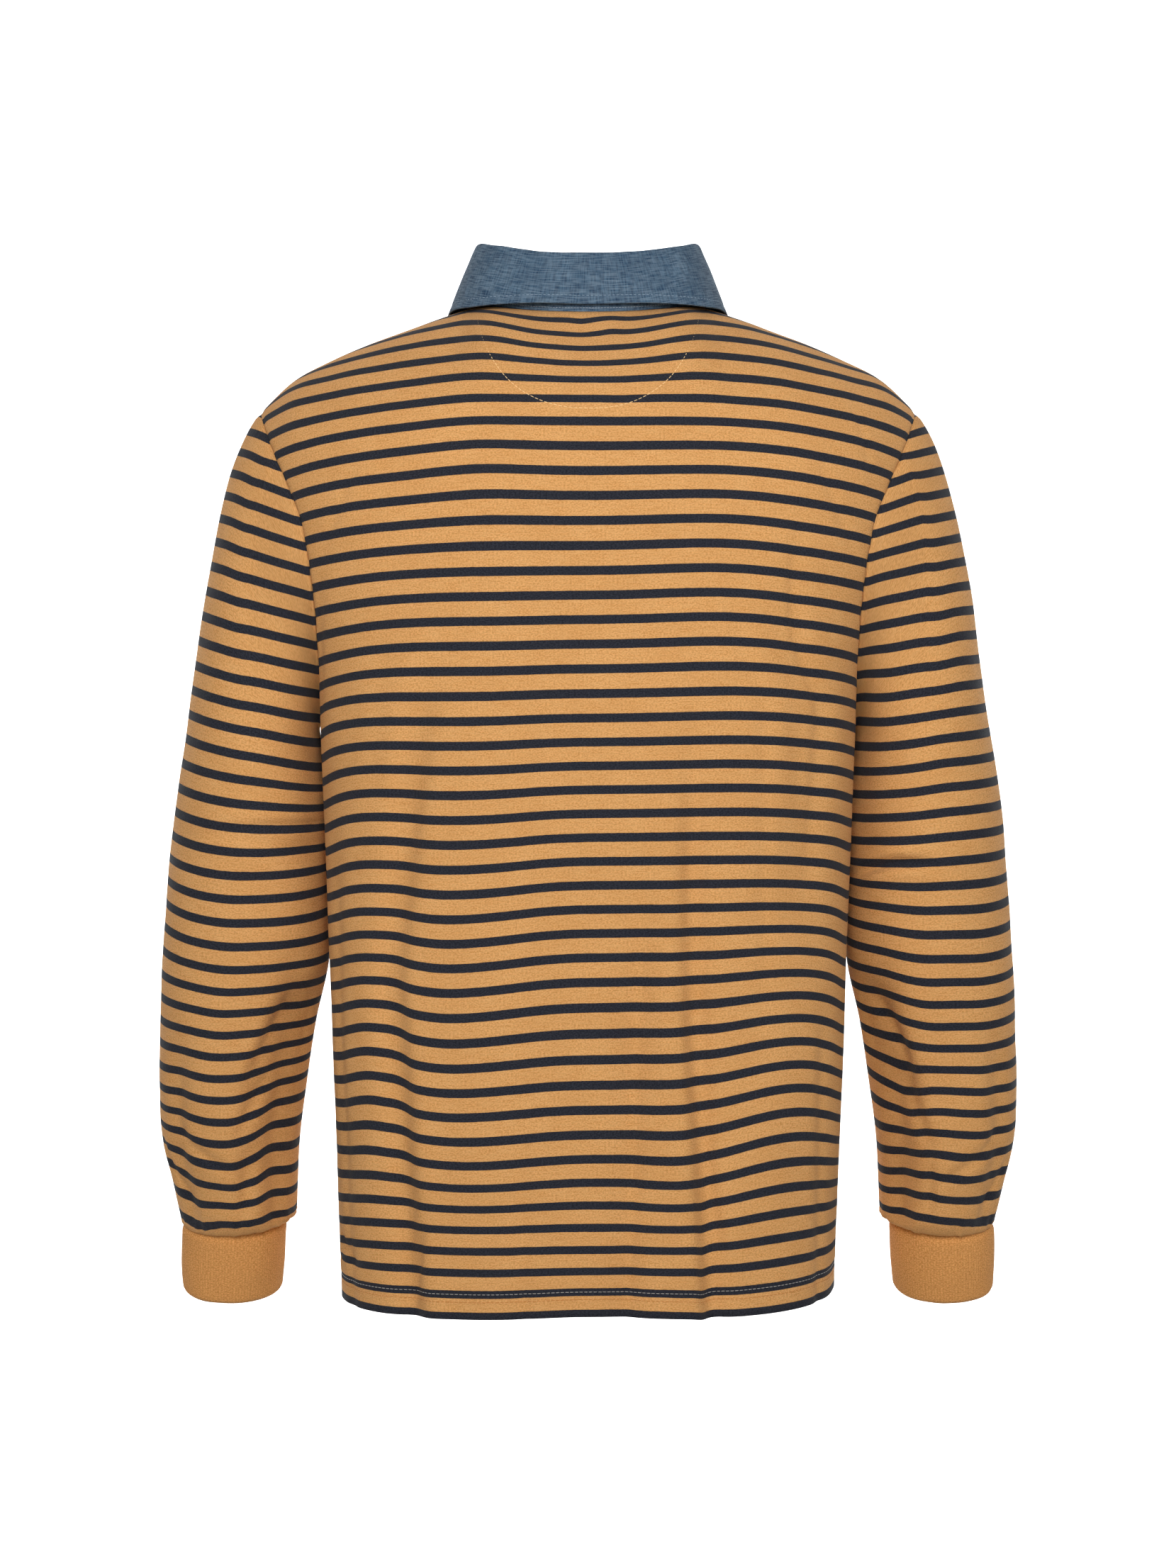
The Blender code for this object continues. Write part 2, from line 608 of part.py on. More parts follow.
# Pieces.
def front_strip(lift):
    """A strip down the front panel's middle, made from its points and moved out by lift."""
    grid = []
    top_index = TOP_EDGES["front"]["index"][0]
    guess = 0.1  # a share near the strip's edge, which tells how wide a share is there
    across = np.linspace(-1, 1, BAND_COLUMNS + 1) * PLACKET_HALF
    for index in np.linspace(*PLACKET_SPAN, BAND_ROWS + 1):
        yoke_part = min((index - top_index) / (YOKE_ROW - top_index), 1)
        row = yoke_part + max(index - YOKE_ROW, 0) / (UNDERARM - YOKE_ROW)
        width = panel_point(np.array([guess]), row, "front")[0, 0]
        grid.append(panel_point(across * guess / width, row, "front"))
    grid = np.array(grid)
    return grid - grid_normals(grid, False) * lift


def button(name, place, facing):
    """A flat dished disc with a rim and four holes, facing out from the placket."""
    points = [(r * BUTTON_RADIUS, 0, h * BUTTON_HEIGHT) for r, h in BUTTON_PROFILE]
    mesh = bpy.data.meshes.new(name)
    mesh.from_pydata(points, [(i, i + 1) for i in range(len(points) - 1)], [])
    made = bpy.data.objects.new(name, mesh)
    turned = made.modifiers.new("turned", "SCREW")
    turned.steps = turned.render_steps = BUTTON_STEPS
    turned.use_merge_vertices = True
    turned.merge_threshold = 0.0001
    for n in range(4):
        hole_mesh = bpy.data.meshes.new(f"{name}_hole_{n}")
        shape = bmesh.new()
        size = dict(radius1=HOLE_RADIUS, radius2=HOLE_RADIUS, depth=4 * BUTTON_HEIGHT)
        bmesh.ops.create_cone(shape, cap_ends=True, segments=6, **size)
        shape.to_mesh(hole_mesh)
        shape.free()
        hole = bpy.data.objects.new(hole_mesh.name, hole_mesh)
        turn = math.radians(45 + 90 * n)
        hole.location = (HOLE_SPACING * math.cos(turn), HOLE_SPACING * math.sin(turn), 0)
        hole.parent = made
        hole.hide_render = True
        hole.display_type = "WIRE"
        cutters.objects.link(hole)
        cut = made.modifiers.new(f"hole {n}", "BOOLEAN")
        cut.object = hole
        cut.operation = "DIFFERENCE"
    made.location = place
    made.rotation_mode = "QUATERNION"
    made.rotation_quaternion = facing.to_track_quat("Z", "Y")
    return made


def material(name, colour, roughness):
    made = bpy.data.materials.new(name)
    made.use_nodes = True
    surface = made.node_tree.nodes["Principled BSDF"]
    surface.inputs["Base Color"].default_value = (*colour, 1)
    surface.inputs["Roughness"].default_value = roughness
    surface.inputs["Metallic"].default_value = 0.0
    return made


def add(piece, finish):
    piece.data.materials.append(finish)
    shirt.objects.link(piece)


def new_collection(name):
    made = bpy.data.collections.new(name)
    bpy.context.scene.collection.children.link(made)
    return made


# The shirt.
for old in list(bpy.data.objects):
    bpy.data.objects.remove(old)
shirt = new_collection("rugby_shirt")
cutters = new_collection("cutters")

jersey = material("striped_jersey", OCHRE, 0.9)
rib = material("ochre_rib", OCHRE, 0.9)
chambray = material("chambray", BLUE, 0.85)
button_face = material("button", IVORY, 0.35)

back, front = panel("back"), panel("front")
left_sleeve = sleeve(armhole(back, front))
left_cuff = cuff(left_sleeve[-1])
stand, leaf = stand_and_leaf(neckline(back, front))
mirror = np.array([-1, 1, 1])

# Each piece's grid, whether it closes on itself, the side its normals point to, its
# thickness and its material.
pieces = {
    "back_panel": (back, False, 1, JERSEY, jersey),
    "front_panel": (front, False, -1, JERSEY, jersey),
    "sleeve_left": (left_sleeve, True, -1, JERSEY, jersey),
    "sleeve_right": (left_sleeve * mirror, True, 1, JERSEY, jersey),
    "cuff_left": (left_cuff, True, -1, RIB, rib),
    "cuff_right": (left_cuff * mirror, True, 1, RIB, rib),
    "collar_stand": (stand, False, -1, CHAMBRAY, chambray),
    "collar_leaf": (leaf, False, 1, CHAMBRAY, chambray),
    "placket_outer": (front_strip(OUTER_LIFT), False, -1, BAND, chambray),
    "placket_under": (front_strip(UNDER_LIFT), False, -1, BAND, chambray),
}
# The front is slit down its middle, under the placket.
middle = NECK_COLUMNS + SHOULDER_COLUMNS
slit = np.zeros((front.shape[0] - 1, front.shape[1] - 1), bool)
slit[:SLIT_CELLS, middle - 1 : middle + 1] = True

for name, (outer, inner) in sew(pieces).items():
    closed, finish = pieces[name][1], pieces[name][4]
    add(wall(name, outer, inner, closed, slit if name == "front_panel" else None), finish)

band = pieces["placket_outer"][0]
facing = -grid_normals(band, False)
for n, share in enumerate(BUTTON_PLACES):
    above = int(share * BAND_ROWS)
    part = share * BAND_ROWS - above
    column = BAND_COLUMNS // 2
    place = band[above, column] * (1 - part) + band[above + 1, column] * part
    out = unit(facing[above, column] * (1 - part) + facing[above + 1, column] * part)
    add(button(f"button_{n + 1}", place + out * BUTTON_LIFT, Vector(out)), button_face)
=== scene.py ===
# A long-sleeved rugby shirt seen from the back, filled out as it is worn. Metres, +Z up.
# The front faces -Y and the wearer's left is +X. Cloth is placed by two numbers: the share
# of a panel's width, and the stripe index, which counts stripes down from the collar.
import math

import bmesh
import bpy
import numpy as np
from mathutils import Matrix, Vector, noise


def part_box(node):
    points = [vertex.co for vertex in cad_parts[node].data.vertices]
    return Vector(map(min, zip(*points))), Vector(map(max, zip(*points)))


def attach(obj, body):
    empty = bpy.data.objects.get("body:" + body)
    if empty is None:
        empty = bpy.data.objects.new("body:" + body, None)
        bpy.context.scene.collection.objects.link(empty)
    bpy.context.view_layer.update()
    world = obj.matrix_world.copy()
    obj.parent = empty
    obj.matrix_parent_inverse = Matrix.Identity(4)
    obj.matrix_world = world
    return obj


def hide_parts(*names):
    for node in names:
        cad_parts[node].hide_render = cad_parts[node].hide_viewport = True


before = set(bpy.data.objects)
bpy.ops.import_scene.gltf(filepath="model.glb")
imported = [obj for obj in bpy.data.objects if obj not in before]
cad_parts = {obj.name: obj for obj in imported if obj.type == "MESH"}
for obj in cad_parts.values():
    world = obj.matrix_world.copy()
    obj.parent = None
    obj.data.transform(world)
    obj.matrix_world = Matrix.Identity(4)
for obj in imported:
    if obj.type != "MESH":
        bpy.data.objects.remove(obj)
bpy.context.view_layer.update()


# Numbers in named columns, a row for each section or fold.
def table(names, *rows):
    return dict(zip(names.split(), np.array(rows, float).T))


# Camera.

photo = {
    "size": (1659, 2212),
    "metresPerPixel": 0.0005,  # at the plane through the shirt's middle
    "shoulderRow": 440,  # pixel row of the origin
    "distance": 3.2,
}


def makeCamera():
    height = photo["size"][1] * photo["metresPerPixel"]
    middle = (photo["shoulderRow"] - photo["size"][1] / 2) * photo["metresPerPixel"]
    data = bpy.data.cameras.new("photoCamera")
    data.sensor_fit = "VERTICAL"
    data.angle = 2 * math.atan(height / 2 / photo["distance"])
    camera = bpy.data.objects.new("photoCamera", data)
    camera.location = (0, photo["distance"], middle)
    camera.rotation_euler = (math.pi / 2, 0, math.pi)
    bpy.context.scene.collection.objects.link(camera)
    bpy.context.scene.camera = camera


makeCamera()
print("camera placed")


# The shirt's form, as in the solids.

form = {
    "pitch": 0.0167,  # one repeat of the stripes
    "neckShare": 0.40,  # share of a half panel that the neckline takes
    "yoke": 7.0,  # stripe index where the shoulder's curve ends
    "underarm": 18.5,
    "hem": 44.15,
    "calmShare": 0.12,  # share beside a side seam, and rows under the top, where folds die out
    "calmRows": 0.25,
    "outward": (1.0, 1.6, 0.0),  # how folds sink: more to the front and back than sideways
    "outlineSteps": 181,
    "levels": table(
        "index height drop edgeX back front backY frontY square",
        (7.0, -0.086, 0.018, 0.2200, 0.112, 0.100, 0.026, 0.050, 1.80),
        (10.0, -0.137, 0.012, 0.2010, 0.116, 0.118, 0.052, 0.066, 2.25),
        (13.0, -0.188, 0.009, 0.1925, 0.117, 0.127, 0.054, 0.064, 2.50),
        (16.0, -0.238, 0.009, 0.1890, 0.117, 0.130, 0.034, 0.040, 2.70),
        (18.5, -0.280, 0.009, 0.1880, 0.117, 0.131, 0.000, 0.000, 2.80),
        (22.0, -0.337, 0.008, 0.1858, 0.116, 0.130, 0.000, 0.000, 2.80),
        (26.0, -0.402, 0.008, 0.1833, 0.114, 0.127, 0.000, 0.000, 2.80),
        (30.0, -0.468, 0.005, 0.1807, 0.113, 0.124, 0.000, 0.000, 2.80),
        (34.0, -0.538, 0.000, 0.1787, 0.112, 0.122, 0.000, 0.000, 2.75),
        (38.0, -0.603, 0.000, 0.1763, 0.113, 0.121, 0.000, 0.000, 2.70),
        (41.0, -0.650, 0.000, 0.1748, 0.114, 0.121, 0.000, 0.000, 2.65),
        (44.15, -0.698, -0.003, 0.1733, 0.115, 0.121, 0.000, 0.000, 2.60),
    ),
    "backTop": table(
        "share index x y z",
        (0.00, 0.45, 0.000, 0.046, -0.0040),
        (0.16, 0.25, 0.036, 0.040, -0.0025),
        (0.30, -0.10, 0.066, 0.019, 0.0020),
        (0.40, -0.45, 0.079, -0.012, 0.0040),
        (0.60, 0.35, 0.122, -0.016, -0.0120),
        (0.80, 1.50, 0.178, -0.020, -0.0335),
        (0.90, 2.35, 0.206, -0.022, -0.0475),
        (1.00, 3.45, 0.2320, -0.024, -0.0705),
    ),
    "frontTop": table(
        "share index x y z",
        (0.00, 5.80, 0.000, -0.092, -0.0720),
        (0.16, 5.00, 0.031, -0.084, -0.0610),
        (0.30, 2.40, 0.064, -0.054, -0.0270),
        (0.40, -0.45, 0.079, -0.012, 0.0040),
        (0.60, 0.60, 0.122, -0.016, -0.0120),
        (0.80, 2.10, 0.178, -0.020, -0.0335),
        (0.90, 3.25, 0.206, -0.022, -0.0475),
        (1.00, 4.60, 0.2320, -0.024, -0.0705),
    ),
    # The way the cloth leaves the top edge, as (x, y, z): middle, neck point, shoulder.
    "backLeaves": ((0.0, 0.76, -0.65), (0.12, 1.0, 0.05), (0.10, 0.95, 0.25)),
    "frontLeaves": ((0.0, -0.45, -0.89), (0.12, -0.90, -0.40), (0.10, -0.70, -0.70)),
}


def smooth(knots, values, at):
    slopes = np.gradient(values, knots, axis=0)
    at = np.clip(np.asarray(at, float), knots[0], knots[-1])
    i = np.clip(np.searchsorted(knots, at) - 1, 0, len(knots) - 2)
    gap = knots[i + 1] - knots[i]
    s = (at - knots[i]) / gap
    if values.ndim > 1:
        gap, s = gap[..., None], s[..., None]
    return hermite(values[i], slopes[i] * gap, values[i + 1], slopes[i + 1] * gap, s)


def hermite(start, leaving, end, arriving, s):
    return (
        start * (2 * s**3 - 3 * s**2 + 1)
        + leaving * (s**3 - 2 * s**2 + s)
        + end * (3 * s**2 - 2 * s**3)
        + arriving * (s**3 - s**2)
    )


# A half's table with its second row mirrored in front, so it crosses the middle smoothly.
def pastMiddle(knots, values, signs):
    before = 2 * knots[0] - knots[1]
    return np.concatenate([[before], knots]), np.concatenate([[values[1] * signs], values])


# The distance of each point of a line from its start, along it.
def runAlong(points):
    steps = np.linalg.norm(np.diff(points, axis=0), axis=1)
    return np.concatenate([[0], np.cumsum(steps)])


def unit(vectors):
    return vectors / np.maximum(np.linalg.norm(vectors, axis=-1, keepdims=True), 1e-12)


# A soft hump: 1 in the middle, and almost nothing past 1.5 either way.
def bell(distance):
    return np.exp(-(distance**2) * 1.4) * (np.abs(distance) < 3)


def section(index, share, side):
    levels = form["levels"]
    size = {name: smooth(levels["index"], levels[name], index) for name in levels}
    deep, power = size[side], size["square"]
    edgeY = max(size[side + "Y"], 0)
    wide = size["edgeX"] / (1 - (edgeY / deep) ** power) ** (1 / power)
    turn = np.linspace(0, math.asin(min((size["edgeX"] / wide) ** (power / 2), 1)), form["outlineSteps"])
    x = wide * np.sin(turn) ** (2 / power)
    y = deep * np.maximum(np.cos(turn), 0) ** (2 / power)
    length = np.concatenate([[0], np.cumsum(np.hypot(np.diff(x), np.diff(y)))])
    at = np.abs(share) * length[-1]
    x, y = np.sign(share) * np.interp(at, length, x), np.interp(at, length, y)
    z = size["height"] - size["drop"] * np.abs(share) ** 3
    return np.stack([x, y if side == "back" else -y, z], -1)


def topEdge(share, side):
    top = form[side + "Top"]
    values = np.stack([top[name] for name in ("index", "x", "y", "z")], -1)
    neck, shoulder = top["share"] <= form["neckShare"], top["share"] >= form["neckShare"]
    across = np.abs(share)
    found = np.where(
        (across <= form["neckShare"])[..., None],
        smooth(*pastMiddle(top["share"][neck], values[neck], (1, -1, 1, 1)), across),
        smooth(top["share"][shoulder], values[shoulder], across),
    )
    found[..., 1] *= np.sign(share)
    return found[..., 1:], found[..., 0]


def leavingTop(share, side):
    knots, ways = np.array([0, form["neckShare"], 1]), np.array(form[side + "Leaves"])
    way = unit(smooth(*pastMiddle(knots, ways, (-1, 1, 1)), np.abs(share)))
    way[..., 0] *= np.sign(share)
    return way


# Folds sink the cloth along a path: share and index at the top, the bend and the foot.
# A negative depth stands out. The last column makes one side of the fold steeper.
folds = {
    "back": table(
        "top bend foot start middle end half depth steep",
        (0.40, 0.56, 0.53, 13, 30, 44.15, 0.070, 0.0065, 0.0),
        (-0.26, -0.29, -0.37, 17, 30, 44.15, 0.050, 0.0050, 0.0),
        (-0.20, -0.22, -0.28, 20, 30, 44.15, 0.050, -0.0030, 0.0),
        (-0.66, -0.61, -0.60, 12, 20, 31, 0.080, 0.0035, 0.0),
        (-0.13, -0.12, -0.10, 27, 36, 44.15, 0.060, 0.0050, 0.0),
        (0.95, 0.84, 0.72, 40, 41, 42.5, 0.050, 0.0030, 0.0),
        (0.00, 0.00, 0.00, 0.6, 2.4, 5, 0.200, 0.0030, 0.0),
        # Narrower folds, which the solids leave out.
        (0.45, 0.605, 0.545, 13, 30, 44.15, 0.024, 0.0022, 0.5),
        (0.35, 0.510, 0.455, 14, 29, 44.15, 0.050, -0.0024, 0.0),
        (-0.29, -0.325, -0.385, 15, 31, 44.15, 0.022, 0.0024, -0.5),
        (-0.23, -0.260, -0.320, 15, 31, 44.15, 0.038, -0.0020, 0.0),
        (-0.46, -0.480, -0.500, 10, 21, 35, 0.026, 0.0015, 0.0),
        (-0.70, -0.665, -0.630, 8, 17, 29, 0.034, 0.0024, 0.3),
        (-0.15, -0.135, -0.115, 24, 35, 44.15, 0.024, 0.0022, 0.2),
        (0.17, 0.180, 0.180, 35, 40, 44.15, 0.022, 0.0018, 0.0),
        (0.17, 0.160, 0.210, 11, 23, 37, 0.040, 0.0013, 0.0),
        (0.02, 0.040, 0.050, 20, 31, 41, 0.034, 0.0011, 0.0),
        (-0.70, -0.720, -0.740, 30, 37, 44.15, 0.030, 0.0020, 0.0),
        (0.76, 0.790, 0.760, 22, 33, 44.15, 0.034, 0.0018, 0.0),
    ),
    "front": table(
        "top bend foot start middle end half depth steep",
        (0.44, 0.52, 0.56, 13, 28, 44.15, 0.070, 0.0060, 0.0),
        (-0.40, -0.50, -0.48, 14, 30, 44.15, 0.065, 0.0060, 0.0),
        (0.10, 0.14, 0.17, 19, 33, 44.15, 0.055, 0.0045, 0.0),
        (-0.12, -0.16, -0.20, 22, 34, 44.15, 0.055, 0.0050, 0.0),
        (0.70, 0.58, 0.48, 9, 12, 16, 0.070, 0.0035, 0.0),
        (-0.70, -0.58, -0.48, 9, 12, 16, 0.070, 0.0035, 0.0),
        (0.47, 0.555, 0.585, 14, 28, 44.15, 0.024, 0.0022, 0.4),
        (-0.43, -0.535, -0.505, 15, 30, 44.15, 0.024, 0.0022, -0.4),
        (0.30, 0.340, 0.380, 17, 28, 40, 0.034, 0.0015, 0.0),
        (-0.27, -0.330, -0.340, 18, 30, 42, 0.034, 0.0015, 0.0),
        (0.12, 0.150, 0.190, 20, 33, 44.15, 0.022, 0.0018, 0.0),
        (-0.14, -0.175, -0.215, 23, 34, 44.15, 0.024, 0.0020, 0.0),
        (0.74, 0.700, 0.720, 22, 32, 44.15, 0.034, 0.0018, 0.0),
        (-0.76, -0.730, -0.720, 20, 33, 44.15, 0.034, 0.0018, 0.0),
    ),
}
# Places where the hanging cloth sags out of level, or lifts if the height is negative.
sags = {
    "back": table(
        "share index half rows height",
        (0.42, 30, 0.16, 10, 0.0060),
        (-0.60, 35, 0.27, 7, -0.0125),
        (0.64, 34, 0.12, 5, -0.0050),
        (0.85, 24, 0.16, 9, 0.0050),
        (0.26, 29, 0.17, 12, 0.0042),
        (0.30, 37.5, 0.35, 2.6, 0.0030),
        (-0.27, 38, 0.20, 3.2, 0.0042),
        (0.33, 8.5, 0.20, 3.5, -0.0025),
        (0.00, 43.8, 0.25, 2.0, -0.0025),
        (-0.45, 14, 0.30, 14, -0.0030),
        (-0.85, 28, 0.12, 7, 0.0040),
        (-0.335, 40.5, 0.035, 5, 0.0018),  # a kink beside the fold, not in the solids
    ),
    "front": table(
        "share index half rows height",
        (-0.40, 31, 0.18, 9, 0.005),
        (0.55, 35, 0.22, 6, -0.008),
    ),
}
# How far the back's stripes lie off their levels, in stripes. A negative shift is lower.
stripeShifts = table(
    "share index half rows height",
    (0.00, 2.2, 0.30, 2.6, -0.12),
    (0.62, 2.4, 0.40, 2.8, -0.30),
    (-0.62, 2.4, 0.40, 2.8, -0.26),
    (1.00, 20.0, 0.14, 7.0, -0.20),
    (-0.07, 1.6, 0.045, 1.3, 0.14),
    (0.02, 1.3, 0.035, 1.0, -0.10),
    (1.00, 42.0, 0.17, 0.42, 0.52),
)
# How far the side seams are drawn up near the hem. The share is 1 on the wearer's left.
seamLifts = table(
    "share index half rows height",
    (-1, 42.5, 0.35, 6.0, 0.0118),
    (1, 43.6, 0.30, 1.6, 0.0065),
    (1, 39.5, 0.30, 2.2, -0.0030),
)


def rowsOf(columns):
    return [dict(zip(columns, row)) for row in zip(*columns.values())]


# A fold grows over its first third and dies out over its last, unless it reaches the hem.
def fade(index, start, end):
    over = (end - start) / 3
    rise = np.clip((index - start) / over, 0, 1)
    fall = 1.0 if end >= form["hem"] else np.clip((end - index) / over, 0, 1)
    part = rise * fall
    return part * part * (3 - 2 * part)


def foldDepth(share, index, side):
    depth = 0
    for fold in rowsOf(folds[side]):
        knots = (fold["start"], fold["middle"], fold["end"])
        off = (share - np.interp(index, knots, (fold["top"], fold["bend"], fold["foot"]))) / fold["half"]
        off = off * np.where(off > 0, 1 + fold["steep"], 1 - fold["steep"])
        depth = depth + fold["depth"] * bell(off) * fade(index, fold["start"], fold["end"])
    return depth


# Soft humps on a panel, summed. Each row has its place, its half width and rows, and its height.
def humps(share, index, rows):
    total = 0
    for row in rowsOf(rows):
        across, down = (share - row["share"]) / row["half"], (index - row["index"]) / row["rows"]
        total = total + row["height"] * bell(across) * bell(down)
    return total


# A row of a panel's points and their stripe indices. "row" runs from 0 at the top edge
# through 1 at the yoke and 2 at the underarm to 3 at the hem.
def panelRow(share, row, side):
    yoke, underarm = form["yoke"], form["underarm"]
    if row < 1:
        top, topIndex = topEdge(share, side)
        index = topIndex + (yoke - topIndex) * row
        foot = section(yoke, share, side)
        down = unit(section(yoke + 0.5, share, side) - foot)
        run = ((yoke - topIndex) * form["pitch"])[..., None]
        points = hermite(top, leavingTop(share, side) * run, foot, down * run, row)
    else:
        start, end = (yoke, underarm) if row < 2 else (underarm, form["hem"])
        index = np.full_like(share, start + (end - start) * (row - (1 if row < 2 else 2)))
        points = section(index[0], share, side)
    # Seams stay where they are sewn.
    calm = np.clip((1 - np.abs(share)) / form["calmShare"], 0, 1) * min(row / form["calmRows"], 1)
    outward = unit(points * form["outward"] + 1e-9)
    points = points - outward * (foldDepth(share, index, side) * calm)[..., None]
    points[..., 2] += humps(share, index, seamLifts) - humps(share, index, sags[side]) * calm
    return points, index


sleeveForm = {
    "fullRing": 14.0,  # sleeve index of the first ring below the underarm
    "cuffTop": 36.0,
    "capPull": 0.6,
    "radius": 0.052,  # turns a ring's angles into distances round it
    "around": 168,  # points in a ring
    "capRows": 56,
    "rows": 190,  # below the cap
    "leanWidth": 0.22,
    "fineness": (16, 16, 12),
    "cuffCalm": 0.012,  # over the cuff, where the cloth can't wave
    "insideCalm": (0.5, 0.15),  # radians from the inner side, and the waves left where it rests
    "puckerTurns": (40, 9),  # gathering at the armhole, in waves round it
    "puckerStart": 0.004,
    "gather": 0.0004,  # gathering over the cuff, in waves round the sleeve with their starts
    "gatherTurns": 23,
    "gatherWaves": ((31, 1.3), (14, 4.0)),
    "gatherReach": 0.014,
    "gatherEnd": 0.003,
    "cuffTuck": (0.0016, 0.0022),  # depth and reach of the cloth's turn into the cuff
    "pressEnd": (5.0, 1.4),  # radians round past which nothing is pressed, and the way there
    # Where it lies against the body under the arm: stripe index, stripes, radians and rise.
    "underarmRest": (15.5, 2.6, 0.35, 0.0030),
    "lastIndex": 35.6,  # no stripe shows below it
    "foldEnds": 4.0,  # stripes over which a fold grows, and over which it dies out
    "foldFoot": 1.2,
    # The outer and inner sides of each ring, the middle and half of its depth, and its
    # lean forward in degrees.
    "rings": table(
        "index outerX outerZ innerX innerZ y deep lean",
        (14.0, 0.2860, -0.2985, 0.1878, -0.3240, -0.022, 0.064, 3),
        (17.0, 0.2940, -0.3500, 0.1854, -0.3660, -0.026, 0.063, 5),
        (20.0, 0.2985, -0.4020, 0.1838, -0.4090, -0.030, 0.061, 7),
        (23.0, 0.3025, -0.4540, 0.1843, -0.4560, -0.034, 0.059, 8),
        (26.0, 0.3052, -0.5020, 0.1940, -0.5010, -0.040, 0.057, 9),
        (29.0, 0.3072, -0.5480, 0.2010, -0.5440, -0.048, 0.055, 11),
        (32.0, 0.3050, -0.5880, 0.2069, -0.5890, -0.056, 0.051, 13),
        (34.0, 0.2990, -0.6150, 0.2087, -0.6195, -0.063, 0.047, 15),
        (35.3, 0.2945, -0.6350, 0.2098, -0.6380, -0.067, 0.043, 17),
        (35.7, 0.2925, -0.6440, 0.2104, -0.6405, -0.068, 0.038, 18),
        (36.0, 0.2922, -0.6485, 0.2172, -0.6445, -0.069, 0.032, 20),
    ),
    "cuffRings": table(
        "index outerX outerZ innerX innerZ y deep lean",
        (0.00, 0.2922, -0.6485, 0.2172, -0.6445, -0.069, 0.032, 20),
        (0.35, 0.2930, -0.6650, 0.2182, -0.6640, -0.075, 0.031, 21),
        (1.00, 0.2935, -0.6960, 0.2216, -0.6960, -0.087, 0.029, 22),
    ),
    # The way the sleeve leaves the armhole at its outer, back, inner and front quarters.
    "leaves": ((0.66, 0.00, -0.75), (0.60, 0.05, -0.80), (0.45, -0.05, -0.89), (0.70, -0.30, -0.65)),
    # Folds: degrees round the ring at the top and foot, from the outer side to the back.
    "folds": table(
        "turnTop turnFoot start end half depth",
        (150, 128, 15.5, 19, 22, 0.0035),
        (128, 138, 21, 36, 16, 0.0045),
        (48, 42, 25, 36, 13, 0.0040),
        (-60, -80, 16, 26, 20, 0.0050),
        (-120, -100, 20, 36, 18, 0.0045),
        (-30, -40, 27, 36, 14, 0.0035),
    ),
}


def ringPoints(rings, index, turns):
    size = {name: smooth(rings["index"], rings[name], index) for name in rings}
    outer = np.array([size["outerX"], size["y"], size["outerZ"]])
    inner = np.array([size["innerX"], size["y"], size["innerZ"]])
    lean = math.radians(size["lean"])
    back = size["deep"] * np.array([0, math.cos(lean), -math.sin(lean)])
    turns = turns[:, None]
    return (outer + inner) / 2 + np.cos(turns) * (outer - inner) / 2 + np.sin(turns) * back


def armholePoint(turn):
    row = 2 * turn / math.pi
    side = "back" if row <= 2 else "front"
    return panelRow(np.array([1.0]), row if row <= 2 else 4 - row, side)[0][0]


def capLeaving(turns):
    ways = np.array([*sleeveForm["leaves"], sleeveForm["leaves"][0]])
    return unit(smooth(np.radians([0.0, 90, 180, 270, 360]), ways, turns))


def sleeveFoldDepth(index, turns):
    depth = 0
    for fold in rowsOf(sleeveForm["folds"]):
        turn = np.interp(index, (fold["start"], fold["end"]), (fold["turnTop"], fold["turnFoot"]))
        off = ((np.degrees(turns) - turn + 180) % 360 - 180) / fold["half"]
        ends = np.clip((index - fold["start"]) / sleeveForm["foldEnds"], 0, 1)
        ends = ends * np.clip((fold["end"] - index) / sleeveForm["foldFoot"], 0, 1)
        depth = depth + fold["depth"] * bell(off) * ends**2 * (3 - 2 * ends)
    return depth


# Meshes from grids.

def gridNormals(grid, closed):
    around = np.roll(grid, -1, axis=1) if closed else grid[:, 1:]
    base = grid if closed else grid[:, :-1]
    face = np.cross(around[1:] - base[:-1], base[1:] - around[:-1])
    normals = np.zeros_like(grid)
    for rows in (slice(0, -1), slice(1, None)):
        if closed:
            normals[rows] += face + np.roll(face, 1, axis=1)
        else:
            normals[rows, :-1] += face
            normals[rows, 1:] += face
    return unit(normals)


# A laid-out sheet: its points, the ways out of it, the distances in metres along and down the
# cloth, and any marks for its finish.
def sheetOf(grid, out, u, v, mirrored=False, **marks):
    if mirrored:
        grid, out = grid * [-1, 1, 1], out * [-1, 1, 1]
    marks.update(u=u, v=v)
    spread = {name: np.broadcast_to(values, grid.shape[:2]) for name, values in marks.items()}
    return {"grid": grid, "out": out, **spread}


# A mesh of a grid's cells, with numbers kept on its points for the materials to read.
def gridMesh(name, grid, closed, flip, attributes, skip=None):
    rows, columns = grid.shape[:2]
    last = columns if closed else columns - 1
    r, c = np.meshgrid(np.arange(rows - 1), np.arange(last), indexing="ij")
    if skip is not None:
        r, c = r[~skip], c[~skip]
    r, c = r.ravel(), c.ravel()
    d = (c + 1) % columns
    corners = [r * columns + c, r * columns + d, (r + 1) * columns + d, (r + 1) * columns + c]
    faces = np.stack(corners[::-1] if flip else corners, -1)
    mesh = bpy.data.meshes.new(name)
    mesh.from_pydata(grid.reshape(-1, 3).tolist(), [], faces.tolist())
    for label, values in attributes.items():
        kind, field = ("FLOAT_VECTOR", "vector") if values.ndim == 3 else ("FLOAT", "value")
        layer = mesh.attributes.new(label, kind, "POINT")
        layer.data.foreach_set(field, values.astype(np.float32).ravel())
    if skip is not None:
        loose = np.setdiff1d(np.arange(rows * columns), faces.ravel())
        dropPoints(mesh, set(loose.tolist()))
    mesh.shade_smooth()
    return mesh


